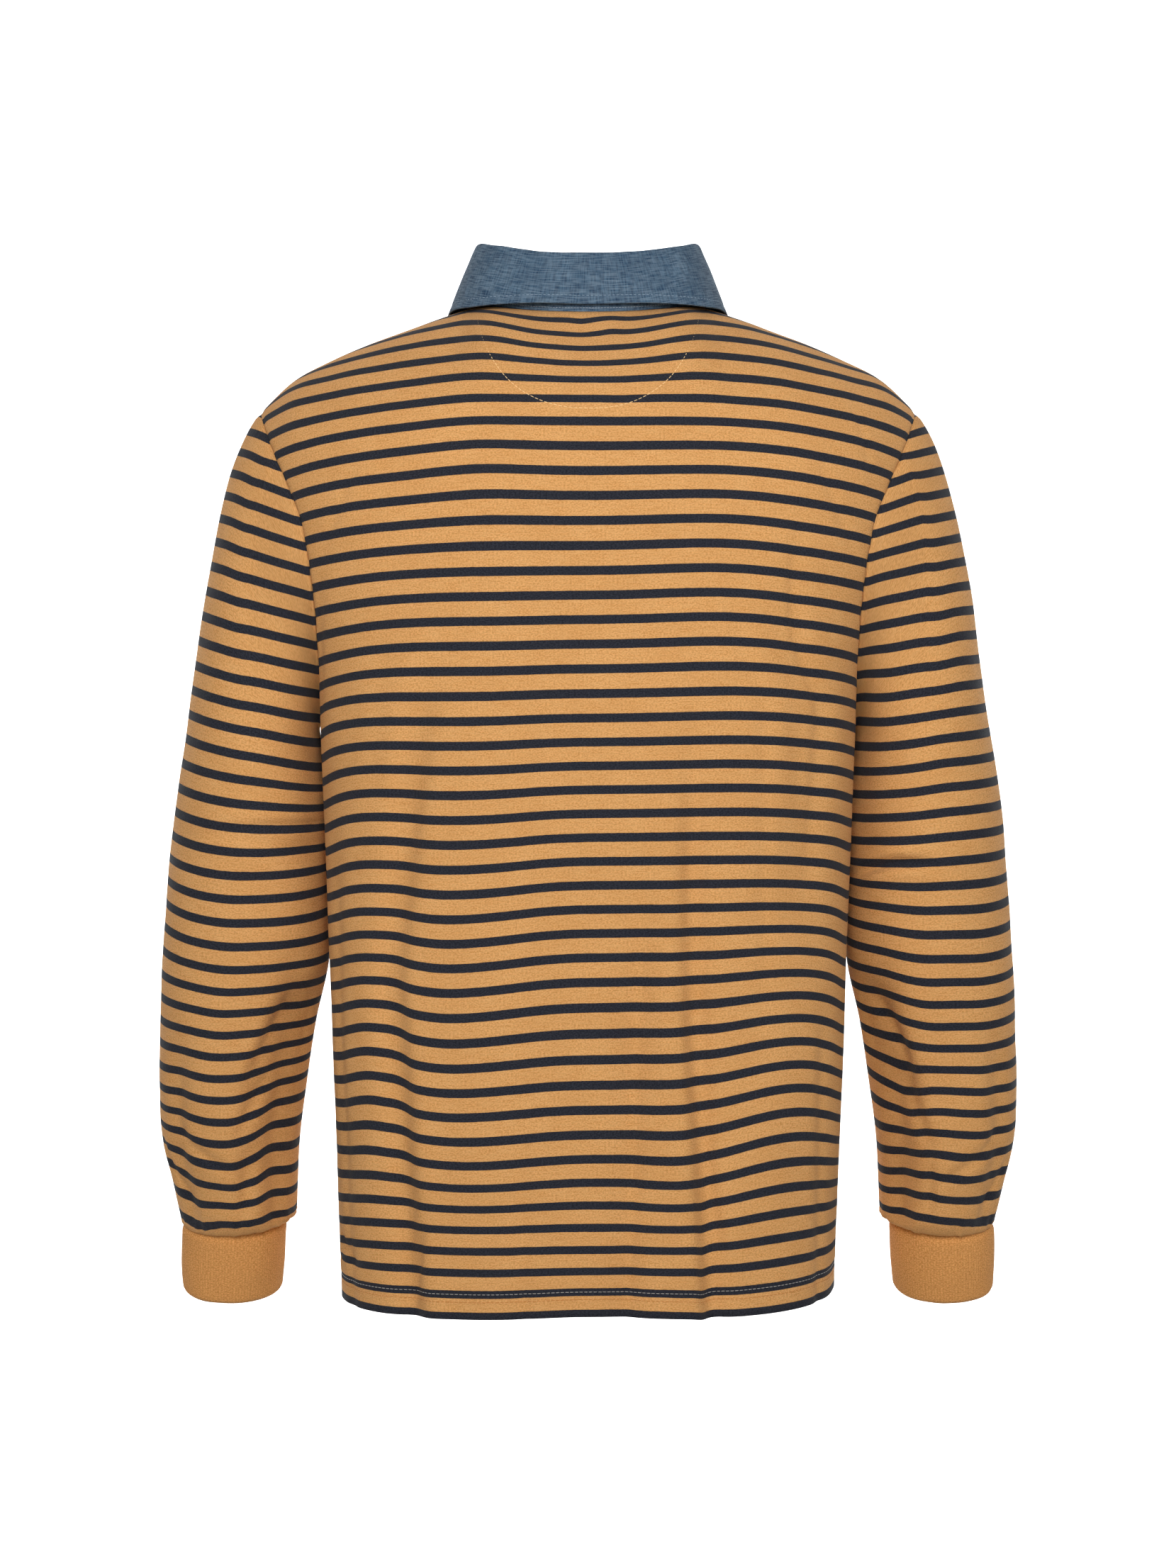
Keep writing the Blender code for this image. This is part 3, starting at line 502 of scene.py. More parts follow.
def dropPoints(mesh, loose):
    edit = bmesh.new()
    edit.from_mesh(mesh)
    edit.verts.ensure_lookup_table()
    bmesh.ops.delete(edit, geom=[edit.verts[i] for i in loose], context="VERTS")
    edit.to_mesh(mesh)
    edit.free()


def addPiece(name, mesh, finish, replaced=(), thickness=0):
    piece = bpy.data.objects.new(name, mesh)
    bpy.context.scene.collection.objects.link(piece)
    piece.data.materials.append(finish)
    if thickness:
        wall = piece.modifiers.new("cloth", "SOLIDIFY")
        wall.thickness = thickness
        wall.offset = -1
    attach(piece, "root")
    if replaced:
        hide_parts(*replaced)
    return piece


# Cloth surface.

drape = {
    "waviness": 0.0013,  # how far the cloth wanders from its form
    "ripples": (0.4, 2.3, 7.7),  # share, fineness and start of the smaller waves in it
    "seamDip": 0.0013,
    "seamWidth": 0.0030,
    "neckDip": 0.3,  # share of the dip at the neck seam
    "pucker": 0.00022,  # gathering along the sewn seams
    "puckerReach": 0.010,
    "puckerWaves": (0.0042, 0.017),
    "hemRows": (43.0, 43.36),  # stripe indices of the hem's two rows of stitches
    "hemDip": 0.0004,
    "hemDipHalf": 0.0011,
    "calmReach": 0.03,  # from a seam to where the cloth is free to move
    "creaseRise": (0.45, 2.2),  # share and width of the rise on both sides of a crease
}


# Slow unevenness of hanging cloth. Its fineness is in waves a metre along each axis.
def wander(points, seed, fineness):
    share, finer, start = drape["ripples"]
    scaled = points.reshape(-1, 3) * fineness + seed
    found = [noise.noise(Vector(p)) + share * noise.noise(Vector(p * finer + start)) for p in scaled]
    return np.array(found).reshape(points.shape[:2])


# How far past the middle of a line on the cloth a place is, along it and across it, in the
# line's own lengths and widths. Places, lengths and widths are in metres along and down the
# cloth, and the turn is in degrees from level.
def fromLine(u, v, line):
    turn = math.radians(line["turn"])
    du, dv = u - line["u"], v - line["v"]
    along = (du * math.cos(turn) + dv * math.sin(turn)) / line["long"]
    across = (dv * math.cos(turn) - du * math.sin(turn)) / line["wide"]
    return along, across


# Short creases, each a soft trough between two low rises.
def creaseDepth(u, v, creases):
    rise, reach = drape["creaseRise"]
    depth = 0
    for crease in rowsOf(creases):
        along, across = fromLine(u, v, crease)
        across = across + crease["bow"] * along**2
        trough = bell(across) - rise * bell(across / reach)
        depth = depth + crease["depth"] * np.exp(-(along**4)) * trough
    return depth


creases = {
    "back": table(
        "u v turn long wide depth bow",
        (0.150, 0.330, 80, 0.060, 0.0090, 0.0012, 0.3),
        (-0.150, 0.350, 97, 0.055, 0.0100, 0.0011, -0.3),
        (0.180, 0.170, 62, 0.035, 0.0060, 0.0014, 0.5),
        (-0.180, 0.170, 118, 0.035, 0.0060, 0.0016, -0.5),
        (-0.205, 0.120, 105, 0.030, 0.0050, 0.0012, 0.0),
        (0.205, 0.250, 75, 0.045, 0.0060, 0.0016, 0.2),
        (0.030, 0.600, 84, 0.070, 0.0060, 0.0014, 0.2),
        (-0.095, 0.660, 100, 0.055, 0.0050, 0.0018, 0.0),
        (0.120, 0.690, 78, 0.040, 0.0050, 0.0016, 0.0),
        (0.205, 0.695, 20, 0.022, 0.0045, 0.0018, 0.4),
    ),
    "front": table(
        "u v turn long wide depth bow",
        (0.170, 0.230, 35, 0.050, 0.0060, 0.0018, 0.6),
        (-0.170, 0.230, 145, 0.050, 0.0060, 0.0018, -0.6),
        (0.185, 0.270, 25, 0.040, 0.0050, 0.0014, 0.5),
        (-0.185, 0.265, 155, 0.040, 0.0050, 0.0014, -0.5),
        (0.060, 0.600, 86, 0.070, 0.0060, 0.0014, 0.2),
        (-0.090, 0.630, 95, 0.060, 0.0060, 0.0015, -0.2),
    ),
}
panelForm = {
    "rows": (44, 64, 136),  # down to the yoke, on to the underarm and on to the hem
    "neckColumns": 40,
    "sideColumns": 62,
    "evenness": 0.5,  # 1 spaces the side columns evenly, 0 crowds them at the side seam
    "flatHalf": 0.02,  # the placket keeps the front flat under it, this far each way
    "flatEnd": 14.5,
    "fineness": (18, 18, 7),
    "seeds": {"back": 31.0, "front": 57.0},
}
panelRows = np.concatenate(
    [np.linspace(part, part + 1, count)[min(part, 1) :] for part, count in enumerate(panelForm["rows"])]
)


# A panel laid out on its form, with distances along and down the cloth in metres.
def layPanel(side):
    even = panelForm["evenness"]
    neck = np.linspace(0, form["neckShare"], panelForm["neckColumns"])
    rest = np.linspace(0, 1, panelForm["sideColumns"])[1:]
    rest = even * rest + (1 - even) * np.sin(rest * math.pi / 2)
    half = np.concatenate([neck, form["neckShare"] + (1 - form["neckShare"]) * rest])
    share = np.concatenate([-half[:0:-1], half])
    rows = [panelRow(share, row, side) for row in panelRows]
    grid = np.array([points for points, index in rows])
    index = np.array([index for points, index in rows])
    along = np.linalg.norm(np.diff(grid, axis=1), axis=2)
    u = np.cumsum(np.concatenate([np.zeros((len(rows), 1)), along], axis=1), axis=1)
    u = u - u[:, len(half) - 1 : len(half)]
    out = gridNormals(grid, False) * (1 if side == "back" else -1)
    return sheetOf(grid, out, u, index * form["pitch"], index=index, share=share)


# Wrinkles a panel. Along its seams it sinks the way that both panels share there.
def dressPanel(side, panel, other):
    index, u, v = panel["index"], panel["u"], panel["v"]
    top = (index - index[:1]) * form["pitch"]  # distance from the neck or shoulder seam
    sink = 0
    fine, slow = drape["puckerWaves"]
    calm = np.clip(top / drape["calmReach"], 0, 1)
    for column in (0, -1):
        edge = np.abs(u - u[:, column : column + 1 or None])
        calm = calm * np.clip(edge / drape["calmReach"], 0, 1)
        way = unit(panel["out"][:, column] + other["out"][:, column])
        pucker = np.sin(v / fine + 2 * np.sin(v / slow)) * np.exp(-edge / drape["puckerReach"])
        depth = drape["seamDip"] * np.exp(-((edge / drape["seamWidth"]) ** 2)) + drape["pucker"] * pucker
        sink = sink + way[:, None] * depth[..., None]
    shoulder = (np.abs(panel["share"][0]) >= form["neckShare"])[:, None]
    neckWay = panel["out"][0] * drape["neckDip"]
    way = np.where(shoulder, unit(panel["out"][0] + other["out"][0]), neckWay)
    sink = sink + way * (drape["seamDip"] * np.exp(-((top / drape["seamWidth"]) ** 2)))[..., None]
    wave = drape["waviness"] * wander(panel["grid"], panelForm["seeds"][side], panelForm["fineness"])
    wave = (wave - creaseDepth(u, v, creases[side])) * calm
    for row in drape["hemRows"]:
        wave = wave - drape["hemDip"] * bell((index - row) * form["pitch"] / drape["hemDipHalf"])
    if side == "front":
        below = np.clip((index - panelForm["flatEnd"]) / 2, 0, 1)
        wave = wave * np.clip(np.abs(u) / panelForm["flatHalf"] - 1, below, 1)
    return panel["grid"] + panel["out"] * wave[..., None] - sink


# The sleeves.

sleeveLooks = {
    # "lean" makes the cap's stripes lean. The shifts move a stripe off its ring, in
    # stripes, at six even steps from the sleeve's outer side to its inner side.
    "left": {
        "lean": 0.20,
        "seed": 3.0,
        "shifts": table(
            "index outer second third fourth fifth inner",
            (6, 0.10, 0.20, 0.20, 0.30, 0.45, 0.55),
            (10, -0.05, 0.00, 0.05, 0.20, 0.30, 0.40),
            (14, -0.05, -0.05, 0.00, 0.10, 0.15, 0.20),
            (18, 0.00, -0.10, -0.10, 0.00, 0.15, 0.30),
            (22, 0.30, 0.05, -0.05, 0.00, 0.05, 0.15),
            (26, 0.25, 0.20, 0.05, 0.10, 0.20, 0.15),
            (29, 0.20, 0.20, 0.05, 0.10, 0.45, 0.45),
            (31, 0.25, 0.10, -0.10, -0.05, 0.35, 0.25),
            (33, 0.15, -0.20, -0.30, -0.25, 0.15, 0.00),
            (35, -0.40, -0.45, -0.15, -0.05, 0.10, 0.00),
        ),
        "creases": table(
            "u v turn long wide depth bow",
            (0.104, 0.280, -8, 0.045, 0.0055, 0.0034, -0.5),
            (0.074, 0.292, -4, 0.022, 0.0050, 0.0024, -0.4),
            (0.106, 0.440, 110, 0.036, 0.0070, 0.0040, 0.2),
            (0.098, 0.490, 108, 0.030, 0.0070, 0.0034, 0.3),
            (0.060, 0.528, 35, 0.030, 0.0070, 0.0030, 0.5),
            (0.095, 0.556, 96, 0.026, 0.0070, 0.0034, 0.0),
            (0.025, 0.552, 60, 0.026, 0.0060, 0.0030, 0.3),
            (-0.060, 0.330, 12, 0.045, 0.0080, 0.0032, 0.6),
            (-0.055, 0.370, -8, 0.045, 0.0080, 0.0034, 0.5),
            (-0.060, 0.410, 6, 0.040, 0.0070, 0.0030, 0.6),
            (-0.060, 0.560, 0, 0.050, 0.0070, 0.0028, 0.8),
            (-0.110, 0.470, -60, 0.035, 0.0090, 0.0030, 0.2),
        ),
        "presses": table(
            "u v turn long wide depth",
            (0.135, 0.400, 145, 0.036, 0.013, 0.0070),
            (0.104, 0.447, 106, 0.046, 0.012, 0.0090),
            (0.096, 0.520, 98, 0.042, 0.012, 0.0060),
        ),
    },
    "right": {
        "lean": 0.30,
        "seed": 11.0,
        "shifts": table(
            "index outer second third fourth fifth inner",
            (6, 0.15, 0.35, 0.55, 0.85, 1.15, 1.25),
            (10, 0.10, 0.40, 0.55, 0.80, 1.00, 1.30),
            (14, 0.20, 0.40, 0.60, 0.70, 0.85, 1.05),
            (18, 0.25, 0.40, 0.50, 0.55, 0.60, 0.60),
            (22, 0.35, 0.35, 0.45, 0.50, 0.70, 0.85),
            (26, 0.45, 0.40, 0.45, 0.45, 0.65, 0.85),
            (29, 0.30, 0.35, 0.45, 0.45, 0.15, 0.50),
            (31, 0.15, 0.20, 0.30, 0.40, 0.20, 0.05),
            (33, -0.20, -0.05, 0.05, 0.25, 0.25, -0.10),
            (35, -0.55, -0.30, 0.00, 0.20, 0.30, 0.15),
        ),
        "creases": table(
            "u v turn long wide depth bow",
            (0.110, 0.308, 6, 0.026, 0.0055, 0.0075, -0.9),
            (0.112, 0.298, 6, 0.028, 0.0065, -0.0024, -0.6),
            (0.116, 0.438, 106, 0.036, 0.0070, 0.0044, 0.2),
            (0.105, 0.495, 106, 0.030, 0.0070, 0.0032, 0.0),
            (0.060, 0.533, 40, 0.030, 0.0070, 0.0028, 0.4),
            (0.095, 0.556, 92, 0.024, 0.0060, 0.0030, 0.0),
            (0.030, 0.560, 65, 0.022, 0.0060, 0.0026, 0.2),
            (-0.055, 0.340, 10, 0.045, 0.0080, 0.0030, 0.6),
            (-0.060, 0.385, -6, 0.045, 0.0080, 0.0034, 0.5),
            (-0.060, 0.560, 0, 0.050, 0.0070, 0.0028, 0.8),
            (-0.115, 0.480, -55, 0.035, 0.0090, 0.0028, 0.2),
        ),
        "presses": table(
            "u v turn long wide depth",
            (0.140, 0.393, 158, 0.030, 0.013, 0.0060),
            (0.114, 0.440, 102, 0.050, 0.012, 0.0100),
            (0.104, 0.530, 98, 0.045, 0.012, 0.0055),
        ),
    },
}
shiftColumns = ("outer", "second", "third", "fourth", "fifth", "inner")


# How many stripes the pattern is shifted by. "inwards" is 0 at the outer side, 1 inside.
def stripeShift(shifts, index, inwards):
    shares = smooth(np.linspace(0, 1, len(shiftColumns)), np.eye(len(shiftColumns)), inwards)
    steps = [smooth(shifts["index"], shifts[name], index) for name in shiftColumns]
    return sum(shares[:, k] * step for k, step in enumerate(steps))


# Soft steps where the inner side of a lower sleeve is pressed forward, past a line on it.
def pressDepth(turns, v, presses):
    u = turns * sleeveForm["radius"]
    depth = 0
    for press in rowsOf(presses):
        along, across = fromLine(u, v, press)
        part = np.clip(0.5 - across / 2, 0, 1)
        depth = depth + press["depth"] * part**2 * (3 - 2 * part) * np.exp(-(along**4))
    end, fading = sleeveForm["pressEnd"]
    return depth * np.clip((end - turns) / fading, 0, 1)


# A sleeve's rings from the armhole to the cuff, their stripe indices before the pattern is
# shifted, and their distances down the cloth.
def sleeveRings(lean, turns):
    full = sleeveForm["fullRing"]
    hole = np.array([armholePoint(turn) for turn in turns])
    first = ringPoints(sleeveForm["rings"], full, turns)
    arriving = unit(ringPoints(sleeveForm["rings"], full + 0.5, turns) - first)
    run = np.linalg.norm(first - hole, axis=1)[:, None]
    pull = capLeaving(turns) * run * sleeveForm["capPull"]
    parts = np.linspace(0, 1, sleeveForm["capRows"])[:-1]
    rows = [hermite(hole, pull, first, arriving * run, s) for s in parts]
    # The stripes of the cap are level cuts of the arm, which lean in more towards the top.
    middle = first.mean(axis=0)
    axis = unit(np.cross(first[0] - middle, first[len(turns) // 4] - middle))
    axis = axis * np.sign(axis[2])
    index = []
    for points in rows:
        height = (points - middle) @ axis
        inwards = (middle[0] - points[:, 0]) / sleeveForm["leanWidth"]
        index.append(full - height * (1 + lean * inwards) / form["pitch"])
    below = np.linspace(full, sleeveForm["cuffTop"], sleeveForm["rows"])
    for at in below:
        points = ringPoints(sleeveForm["rings"], at, turns)
        centre = points.mean(axis=0)
        rows.append(points - unit(points - centre) * np.reshape(sleeveFoldDepth(at, turns), (-1, 1)))
        index.append(np.full(len(turns), at))
    v = np.concatenate([full - (1 - parts) * run.mean() / form["pitch"], below]) * form["pitch"]
    return np.array(rows), np.array(index), v[:, None]


# How far a sleeve's cloth stands out, by its waves, gathers and creases.
def sleeveRelief(looks, grid, index, turns, u, v, calm):
    seam, cuff = v - v[0], v[-1] - v
    wave = drape["waviness"] * wander(grid, looks["seed"], sleeveForm["fineness"]) * calm
    many, few = sleeveForm["puckerTurns"]
    pucker = np.sin(turns * many + 2 * np.sin(turns * few)) * np.exp(-seam / drape["puckerReach"])
    pucker = drape["pucker"] * pucker * np.clip(seam / sleeveForm["puckerStart"], 0, 1)
    waves = ((sleeveForm["gatherTurns"], looks["seed"]), *sleeveForm["gatherWaves"])
    gather = sum(np.sin(turns * count + start) for count, start in waves)
    gather = sleeveForm["gather"] * gather * np.exp(-cuff / sleeveForm["gatherReach"])
    gather = gather * np.clip(cuff / sleeveForm["gatherEnd"], 0, 1)
    tuckDepth, tuckReach = sleeveForm["cuffTuck"]
    sink = creaseDepth(u, v, looks["creases"]) * calm + tuckDepth * np.exp(-((cuff / tuckReach) ** 2))
    place, stripes, radians, rise = sleeveForm["underarmRest"]
    inside = (math.pi - np.abs(u / sleeveForm["radius"])) / radians
    sink = sink - rise * bell(inside) * bell((index - place) / stripes)
    return wave + pucker + gather - sink


# How far the panels' edges at the armhole lie off their forms, at a sleeve's turns.
def armholeShift(turns, backEdge, frontEdge):
    place = 2 * turns / math.pi
    onFront = (place > 2)[:, None]
    place = np.where(place > 2, 4 - place, place)
    back, front = (
        np.stack([np.interp(place, panelRows, edge[:, axis]) for axis in range(3)], -1)
        for edge in (backEdge, frontEdge)
    )
    return np.where(onFront, front, back)


def sleeveGrid(name, backEdge, frontEdge):
    looks = sleeveLooks[name]
    turns = 2 * math.pi * np.arange(sleeveForm["around"]) / sleeveForm["around"]
    grid, index, v = sleeveRings(looks["lean"], turns)
    index = index + stripeShift(looks["shifts"], index, (1 - np.cos(turns)) / 2)
    out = -gridNormals(grid, True)
    around = (turns + math.pi) % (2 * math.pi) - math.pi
    u = around * sleeveForm["radius"]
    reach, least = sleeveForm["insideCalm"]
    calm = np.clip((v - v[0]) / drape["calmReach"], 0, 1)
    calm = calm * np.clip((v[-1] - v) / sleeveForm["cuffCalm"], 0, 1)
    calm = calm * np.clip((math.pi - np.abs(around)) / reach, least, 1)
    relief = sleeveRelief(looks, grid, index, turns, u, v, calm)
    near = np.exp(-(((v - v[0]) / drape["seamWidth"]) ** 2))
    grid = grid + armholeShift(turns, backEdge, frontEdge) * near[..., None]
    grid = grid + out * relief[..., None]
    grid[..., 1] -= pressDepth(turns, v, looks["presses"]) * calm
    index = np.minimum(index, sleeveForm["lastIndex"])
    return sheetOf(grid, out, u, v, name == "right", index=index)


# The rib cuffs.

cuffForm = {
    "ribs": 108,
    "ribDepth": 0.0002,
    "ribRise": 0.3,  # share of the ribs' depth that is left at the foot
    "ribPower": 0.7,  # under 1 makes the ribs full and the grooves narrow
    "columns": 432,
    "rows": 24,
    "under": 0.05,  # share of its length by which it starts inside the sleeve
    "neckShare": 0.1,  # the first and last of its length, which roll in
    "footShare": 1 / 14,
    "neckRoll": 0.0022,
    "footRoll": 0.0009,
    "waviness": 0.0010,
    "fineness": (36, 36, 20),
    "radius": 0.034,
    "length": 0.06,
    "seeds": {"left": 5.0, "right": 9.0},
}


def cuffGrid(name):
    turns = 2 * math.pi * np.arange(cuffForm["columns"]) / cuffForm["columns"]
    down = np.linspace(-cuffForm["under"], 1, cuffForm["rows"])
    rings = sleeveForm["cuffRings"]
    first, second = (ringPoints(rings, at, turns) for at in (0.0, 0.1))
    rows = [ringPoints(rings, at, turns) if at > 0 else first + (second - first) * at * 10 for at in down]
    grid = np.array(rows)
    out = -gridNormals(grid, True)
    rib = np.abs(np.sin(turns * cuffForm["ribs"] / 2)) ** cuffForm["ribPower"]
    foot = np.clip((1 - down) / cuffForm["footShare"], 0, 1)[:, None]
    neck = np.clip(down / cuffForm["neckShare"], 0, 1)[:, None]
    wave = cuffForm["waviness"] * wander(grid, cuffForm["seeds"][name], cuffForm["fineness"]) * neck
    roll = cuffForm["footRoll"] * (1 - np.sqrt(1 - (1 - foot) ** 2))
    roll = roll + cuffForm["neckRoll"] * (1 - neck) ** 2
    ridge = rib * cuffForm["ribDepth"] * (cuffForm["ribRise"] + (1 - cuffForm["ribRise"]) * foot)
    grid = grid + out * (ridge + wave - roll)[..., None]
    u, v = turns * cuffForm["radius"], down[:, None] * cuffForm["length"]
    return sheetOf(grid, out, u, v, name == "right", rib=rib)


# The collar.

collarForm = {
    # The left half, from the middle of the back round to the middle of the front: the
    # stand's top edge, and the leaf's lower edge.
    "half": table(
        "share foldX foldY foldZ rimX rimY rimZ",
        (0.00, 0.0000, 0.0455, 0.0338, 0.0000, 0.0525, 0.0002),
        (0.13, 0.0330, 0.0420, 0.0350, 0.0440, 0.0495, 0.0012),
        (0.26, 0.0630, 0.0250, 0.0410, 0.0800, 0.0345, 0.0004),
        (0.40, 0.0765, -0.0040, 0.0445, 0.0980, -0.0010, -0.0008),
        (0.54, 0.0700, -0.0330, 0.0310, 0.0966, -0.0430, -0.0120),
        (0.70, 0.0510, -0.0640, -0.0010, 0.0855, -0.0775, -0.0450),
        (0.86, 0.0240, -0.0850, -0.0300, 0.0640, -0.0990, -0.0825),
        (1.00, 0.0015, -0.0915, -0.0440, 0.0430, -0.1095, -0.1030),
    ),
    # The leaf's path as it turns over: outwards and up from the stand's top edge.
    "roll": ((-0.0014, 0.0009), (-0.0012, 0.0019), (0.0002, 0.0028), (0.0020, 0.0025), (0.0034, 0.0008)),
    "seamColumns": 60,
    "standRows": 24,
    "rollRows": 17,
    "leafRows": 36,
    "standSpan": (-0.06, 1),  # the stand starts a little under the panels
    "standHeight": 0.036,
    "frontGap": 0.00045,
    "crown": 0.0006,  # the leaf bows out a little between its edges
    "waviness": 0.0007,
    "fineness": (30, 30, 30),
    "seed": 21.0,
    "topstitch": 0.0060,  # in from the leaf's edge
    "ditch": (0.00045, 0.0014),  # depth and reach of the hollow along the stitches
    "standStitch": 0.055,  # place of the stand's stitches, as a share of its height
}


def collarLine(name, share):
    half = collarForm["half"]
    points = np.stack([half[name + axis] for axis in "XYZ"], -1)
    line = smooth(*pastMiddle(half["share"], points, (-1, 1, 1)), np.abs(share))
    line[..., 0] *= np.where(share < 0, -1, 1)
    return line


# The neck seam, from the front's middle on the right round the back to the left.
def neckSeam(count):
    across = np.linspace(0, form["neckShare"], count)
    front, back = topEdge(across, "front")[0], topEdge(across, "back")[0]
    front[0] += [collarForm["frontGap"], 0, collarForm["frontGap"]]
    left = np.concatenate([front, back[-2:0:-1]])
    return np.concatenate([left * [-1, 1, 1], back[:1], left[::-1]])


# The lines that the stand and the leaf are laid between.
def collarLines():
    seam = neckSeam(collarForm["seamColumns"])
    length = runAlong(seam)
    share = 2 * length / length[-1] - 1
    fold, rim = collarLine("fold", share), collarLine("rim", share)
    rise = unit(fold - seam)
    outward = unit(np.cross(rise, np.gradient(fold, axis=0)))
    return {"seam": seam, "length": length, "fold": fold, "rim": rim, "rise": rise, "outward": outward}


def standGrid(lines):
    steps = np.linspace(*collarForm["standSpan"], collarForm["standRows"])
    grid = np.array([lines["seam"] * (1 - s) + lines["fold"] * s for s in steps])
    u = lines["length"] - lines["length"][-1] / 2
    v = np.linspace(0, collarForm["standHeight"], len(grid))[:, None]
    return sheetOf(grid, -gridNormals(grid, False), u, v)


def leafGrid(lines):
    fold, rim, rise, outward = (lines[name] for name in ("fold", "rim", "rise", "outward"))
    roll = np.array(collarForm["roll"])
    turn = smooth(np.linspace(0, 1, len(roll)), roll, np.linspace(0, 1, collarForm["rollRows"]))
    rows = [fold + outward * out + rise * up for out, up in turn]
    start = rows[-1]
    for s in np.linspace(0, 1, collarForm["leafRows"])[1:]:
        crown = collarForm["crown"] * math.sin(math.pi * s)
        rows.append(start * (1 - s) + rim * s + outward * crown)
    grid = np.array(rows)
    out = gridNormals(grid, False)
    length = lines["length"]
    steps = np.linalg.norm(np.diff(grid, axis=0), axis=2)
    fall = np.cumsum(np.concatenate([np.zeros((1, len(length))), steps]), 0)
    edge = np.minimum(fall[-1] - fall, np.minimum(length, length[-1] - length))
    depth, reach = collarForm["ditch"]
    ditch = depth * bell((edge - collarForm["topstitch"]) / reach)
    wave = collarForm["waviness"] * wander(grid, collarForm["seed"], collarForm["fineness"]) - ditch
    return sheetOf(grid + out * wave[..., None], out, length - length[-1] / 2, fall)


# Places on a laid-out sheet: points and ways out between its grid's points.
def placesOn(sheet, row, column):
    grid, out = sheet["grid"], sheet["out"]
    row, column = np.broadcast_arrays(row, column)
    i = np.clip(np.floor(row).astype(int), 0, grid.shape[0] - 2)
    j = np.clip(np.floor(column).astype(int), 0, grid.shape[1] - 2)
    a, b = (row - i)[..., None], (column - j)[..., None]
    found = []
    for values in (grid, out):
        above = values[i, j] * (1 - b) + values[i, j + 1] * b
        under = values[i + 1, j] * (1 - b) + values[i + 1, j + 1] * b
        found.append(above * (1 - a) + under * a)
    return found[0], unit(found[1])


# Places on a panel at a stripe index, and at some distances across from the middle.
def acrossPanel(panel, index, xs):
    numbers = np.arange(panel["grid"].shape[0])
    columns = np.arange(panel["grid"].shape[1])
    rows = np.array([np.interp(index, panel["index"][:, c], numbers) for c in columns])
    lineXs = placesOn(panel, rows, columns)[0][:, 0]
    column = np.interp(xs, lineXs, columns)
    return placesOn(panel, np.interp(column, columns, rows), column)


# The placket and its buttons.

placketForm = {
    "half": 0.0165,
    "span": (5.86, 14.6),  # stripe indices where the bands start and end
    "outerLift": 0.0020,  # the outer band's face over the cloth
    "edgeLift": 0.0009,
    "underLift": -0.0030,
    "thick": 0.0009,
    "roundedEdge": 0.003,
    "inset": 0.0022,  # the edge stitches, in from the band's edge
    "ditch": (0.0004, 0.0008),  # depth and reach of the hollow along them
    "box": 0.018,  # height of the stitched box at the foot
    "slitHalf": 0.01,  # the slit under the bands, as a share of the panel
    "slitEnd": 13.6,
    "rows": 100,
    "columns": 31,
}


def bandGrid(panel, outer):
    place = placketForm
    xs = np.linspace(-1, 1, place["columns"]) * place["half"]
    grid, out = [], []
    for index in np.linspace(*place["span"], place["rows"]):
        points, ways = acrossPanel(panel, index, xs)
        grid.append(points)
        out.append(ways)
    grid, out = np.array(grid), np.array(out)
    down = np.linspace(0, 1, place["rows"])[:, None]
    v = down * (place["span"][1] - place["span"][0]) * form["pitch"]
    edge = np.minimum(place["half"] - np.abs(xs), v[-1] - v)
    lift = place["underLift"]
    if outer:
        crown = 1 - np.clip(1 - edge / place["roundedEdge"], 0, 1) ** 2
        lift = place["edgeLift"] + (place["outerLift"] - place["edgeLift"]) * crown
        depth, reach = place["ditch"]
        lift = lift - depth * bell((edge - place["inset"]) / reach)
    grid = grid + out * np.broadcast_to(lift, grid.shape[:2])[..., None]
    return sheetOf(grid, out, xs, v)


buttonForm = {
    "radius": 0.0057,
    "height": 0.0026,
    # From the middle of the face out over the rim to the back, in shares of the sizes.
    "profile": table(
        "out up",
        (0.00, 0.60),
        (0.30, 0.61),
        (0.60, 0.66),
        (0.70, 0.78),
        (0.78, 0.93),
        (0.86, 1.00),
        (0.93, 0.97),
        (0.99, 0.84),
        (1.00, 0.62),
        (0.98, 0.36),
        (0.90, 0.12),
        (0.78, 0.02),
        (0.00, 0.00),
    ),
    "face": 0.61,  # height of the sunk middle, in shares
    "holeRadius": 0.00085,
    "holeSpacing": 0.0016,
    "holeLift": 0.00006,  # keeps the painted-shade discs of the holes clear of the face
    "holeRings": (1.0, 0.9, 0.0),  # shares of the hole's radius
    "threadRadius": 0.0003,
    "threadArch": 0.0004,
    "steps": 56,
    "holeSteps": 16,
    "threadSteps": 7,
}


def turnedMesh(name, radii, heights, steps):
    turns = 2 * math.pi * np.arange(steps) / steps
    grid = [[(r * math.cos(t), r * math.sin(t), h) for t in turns] for r, h in zip(radii, heights)]
    return gridMesh(name, np.array(grid), True, True, {})
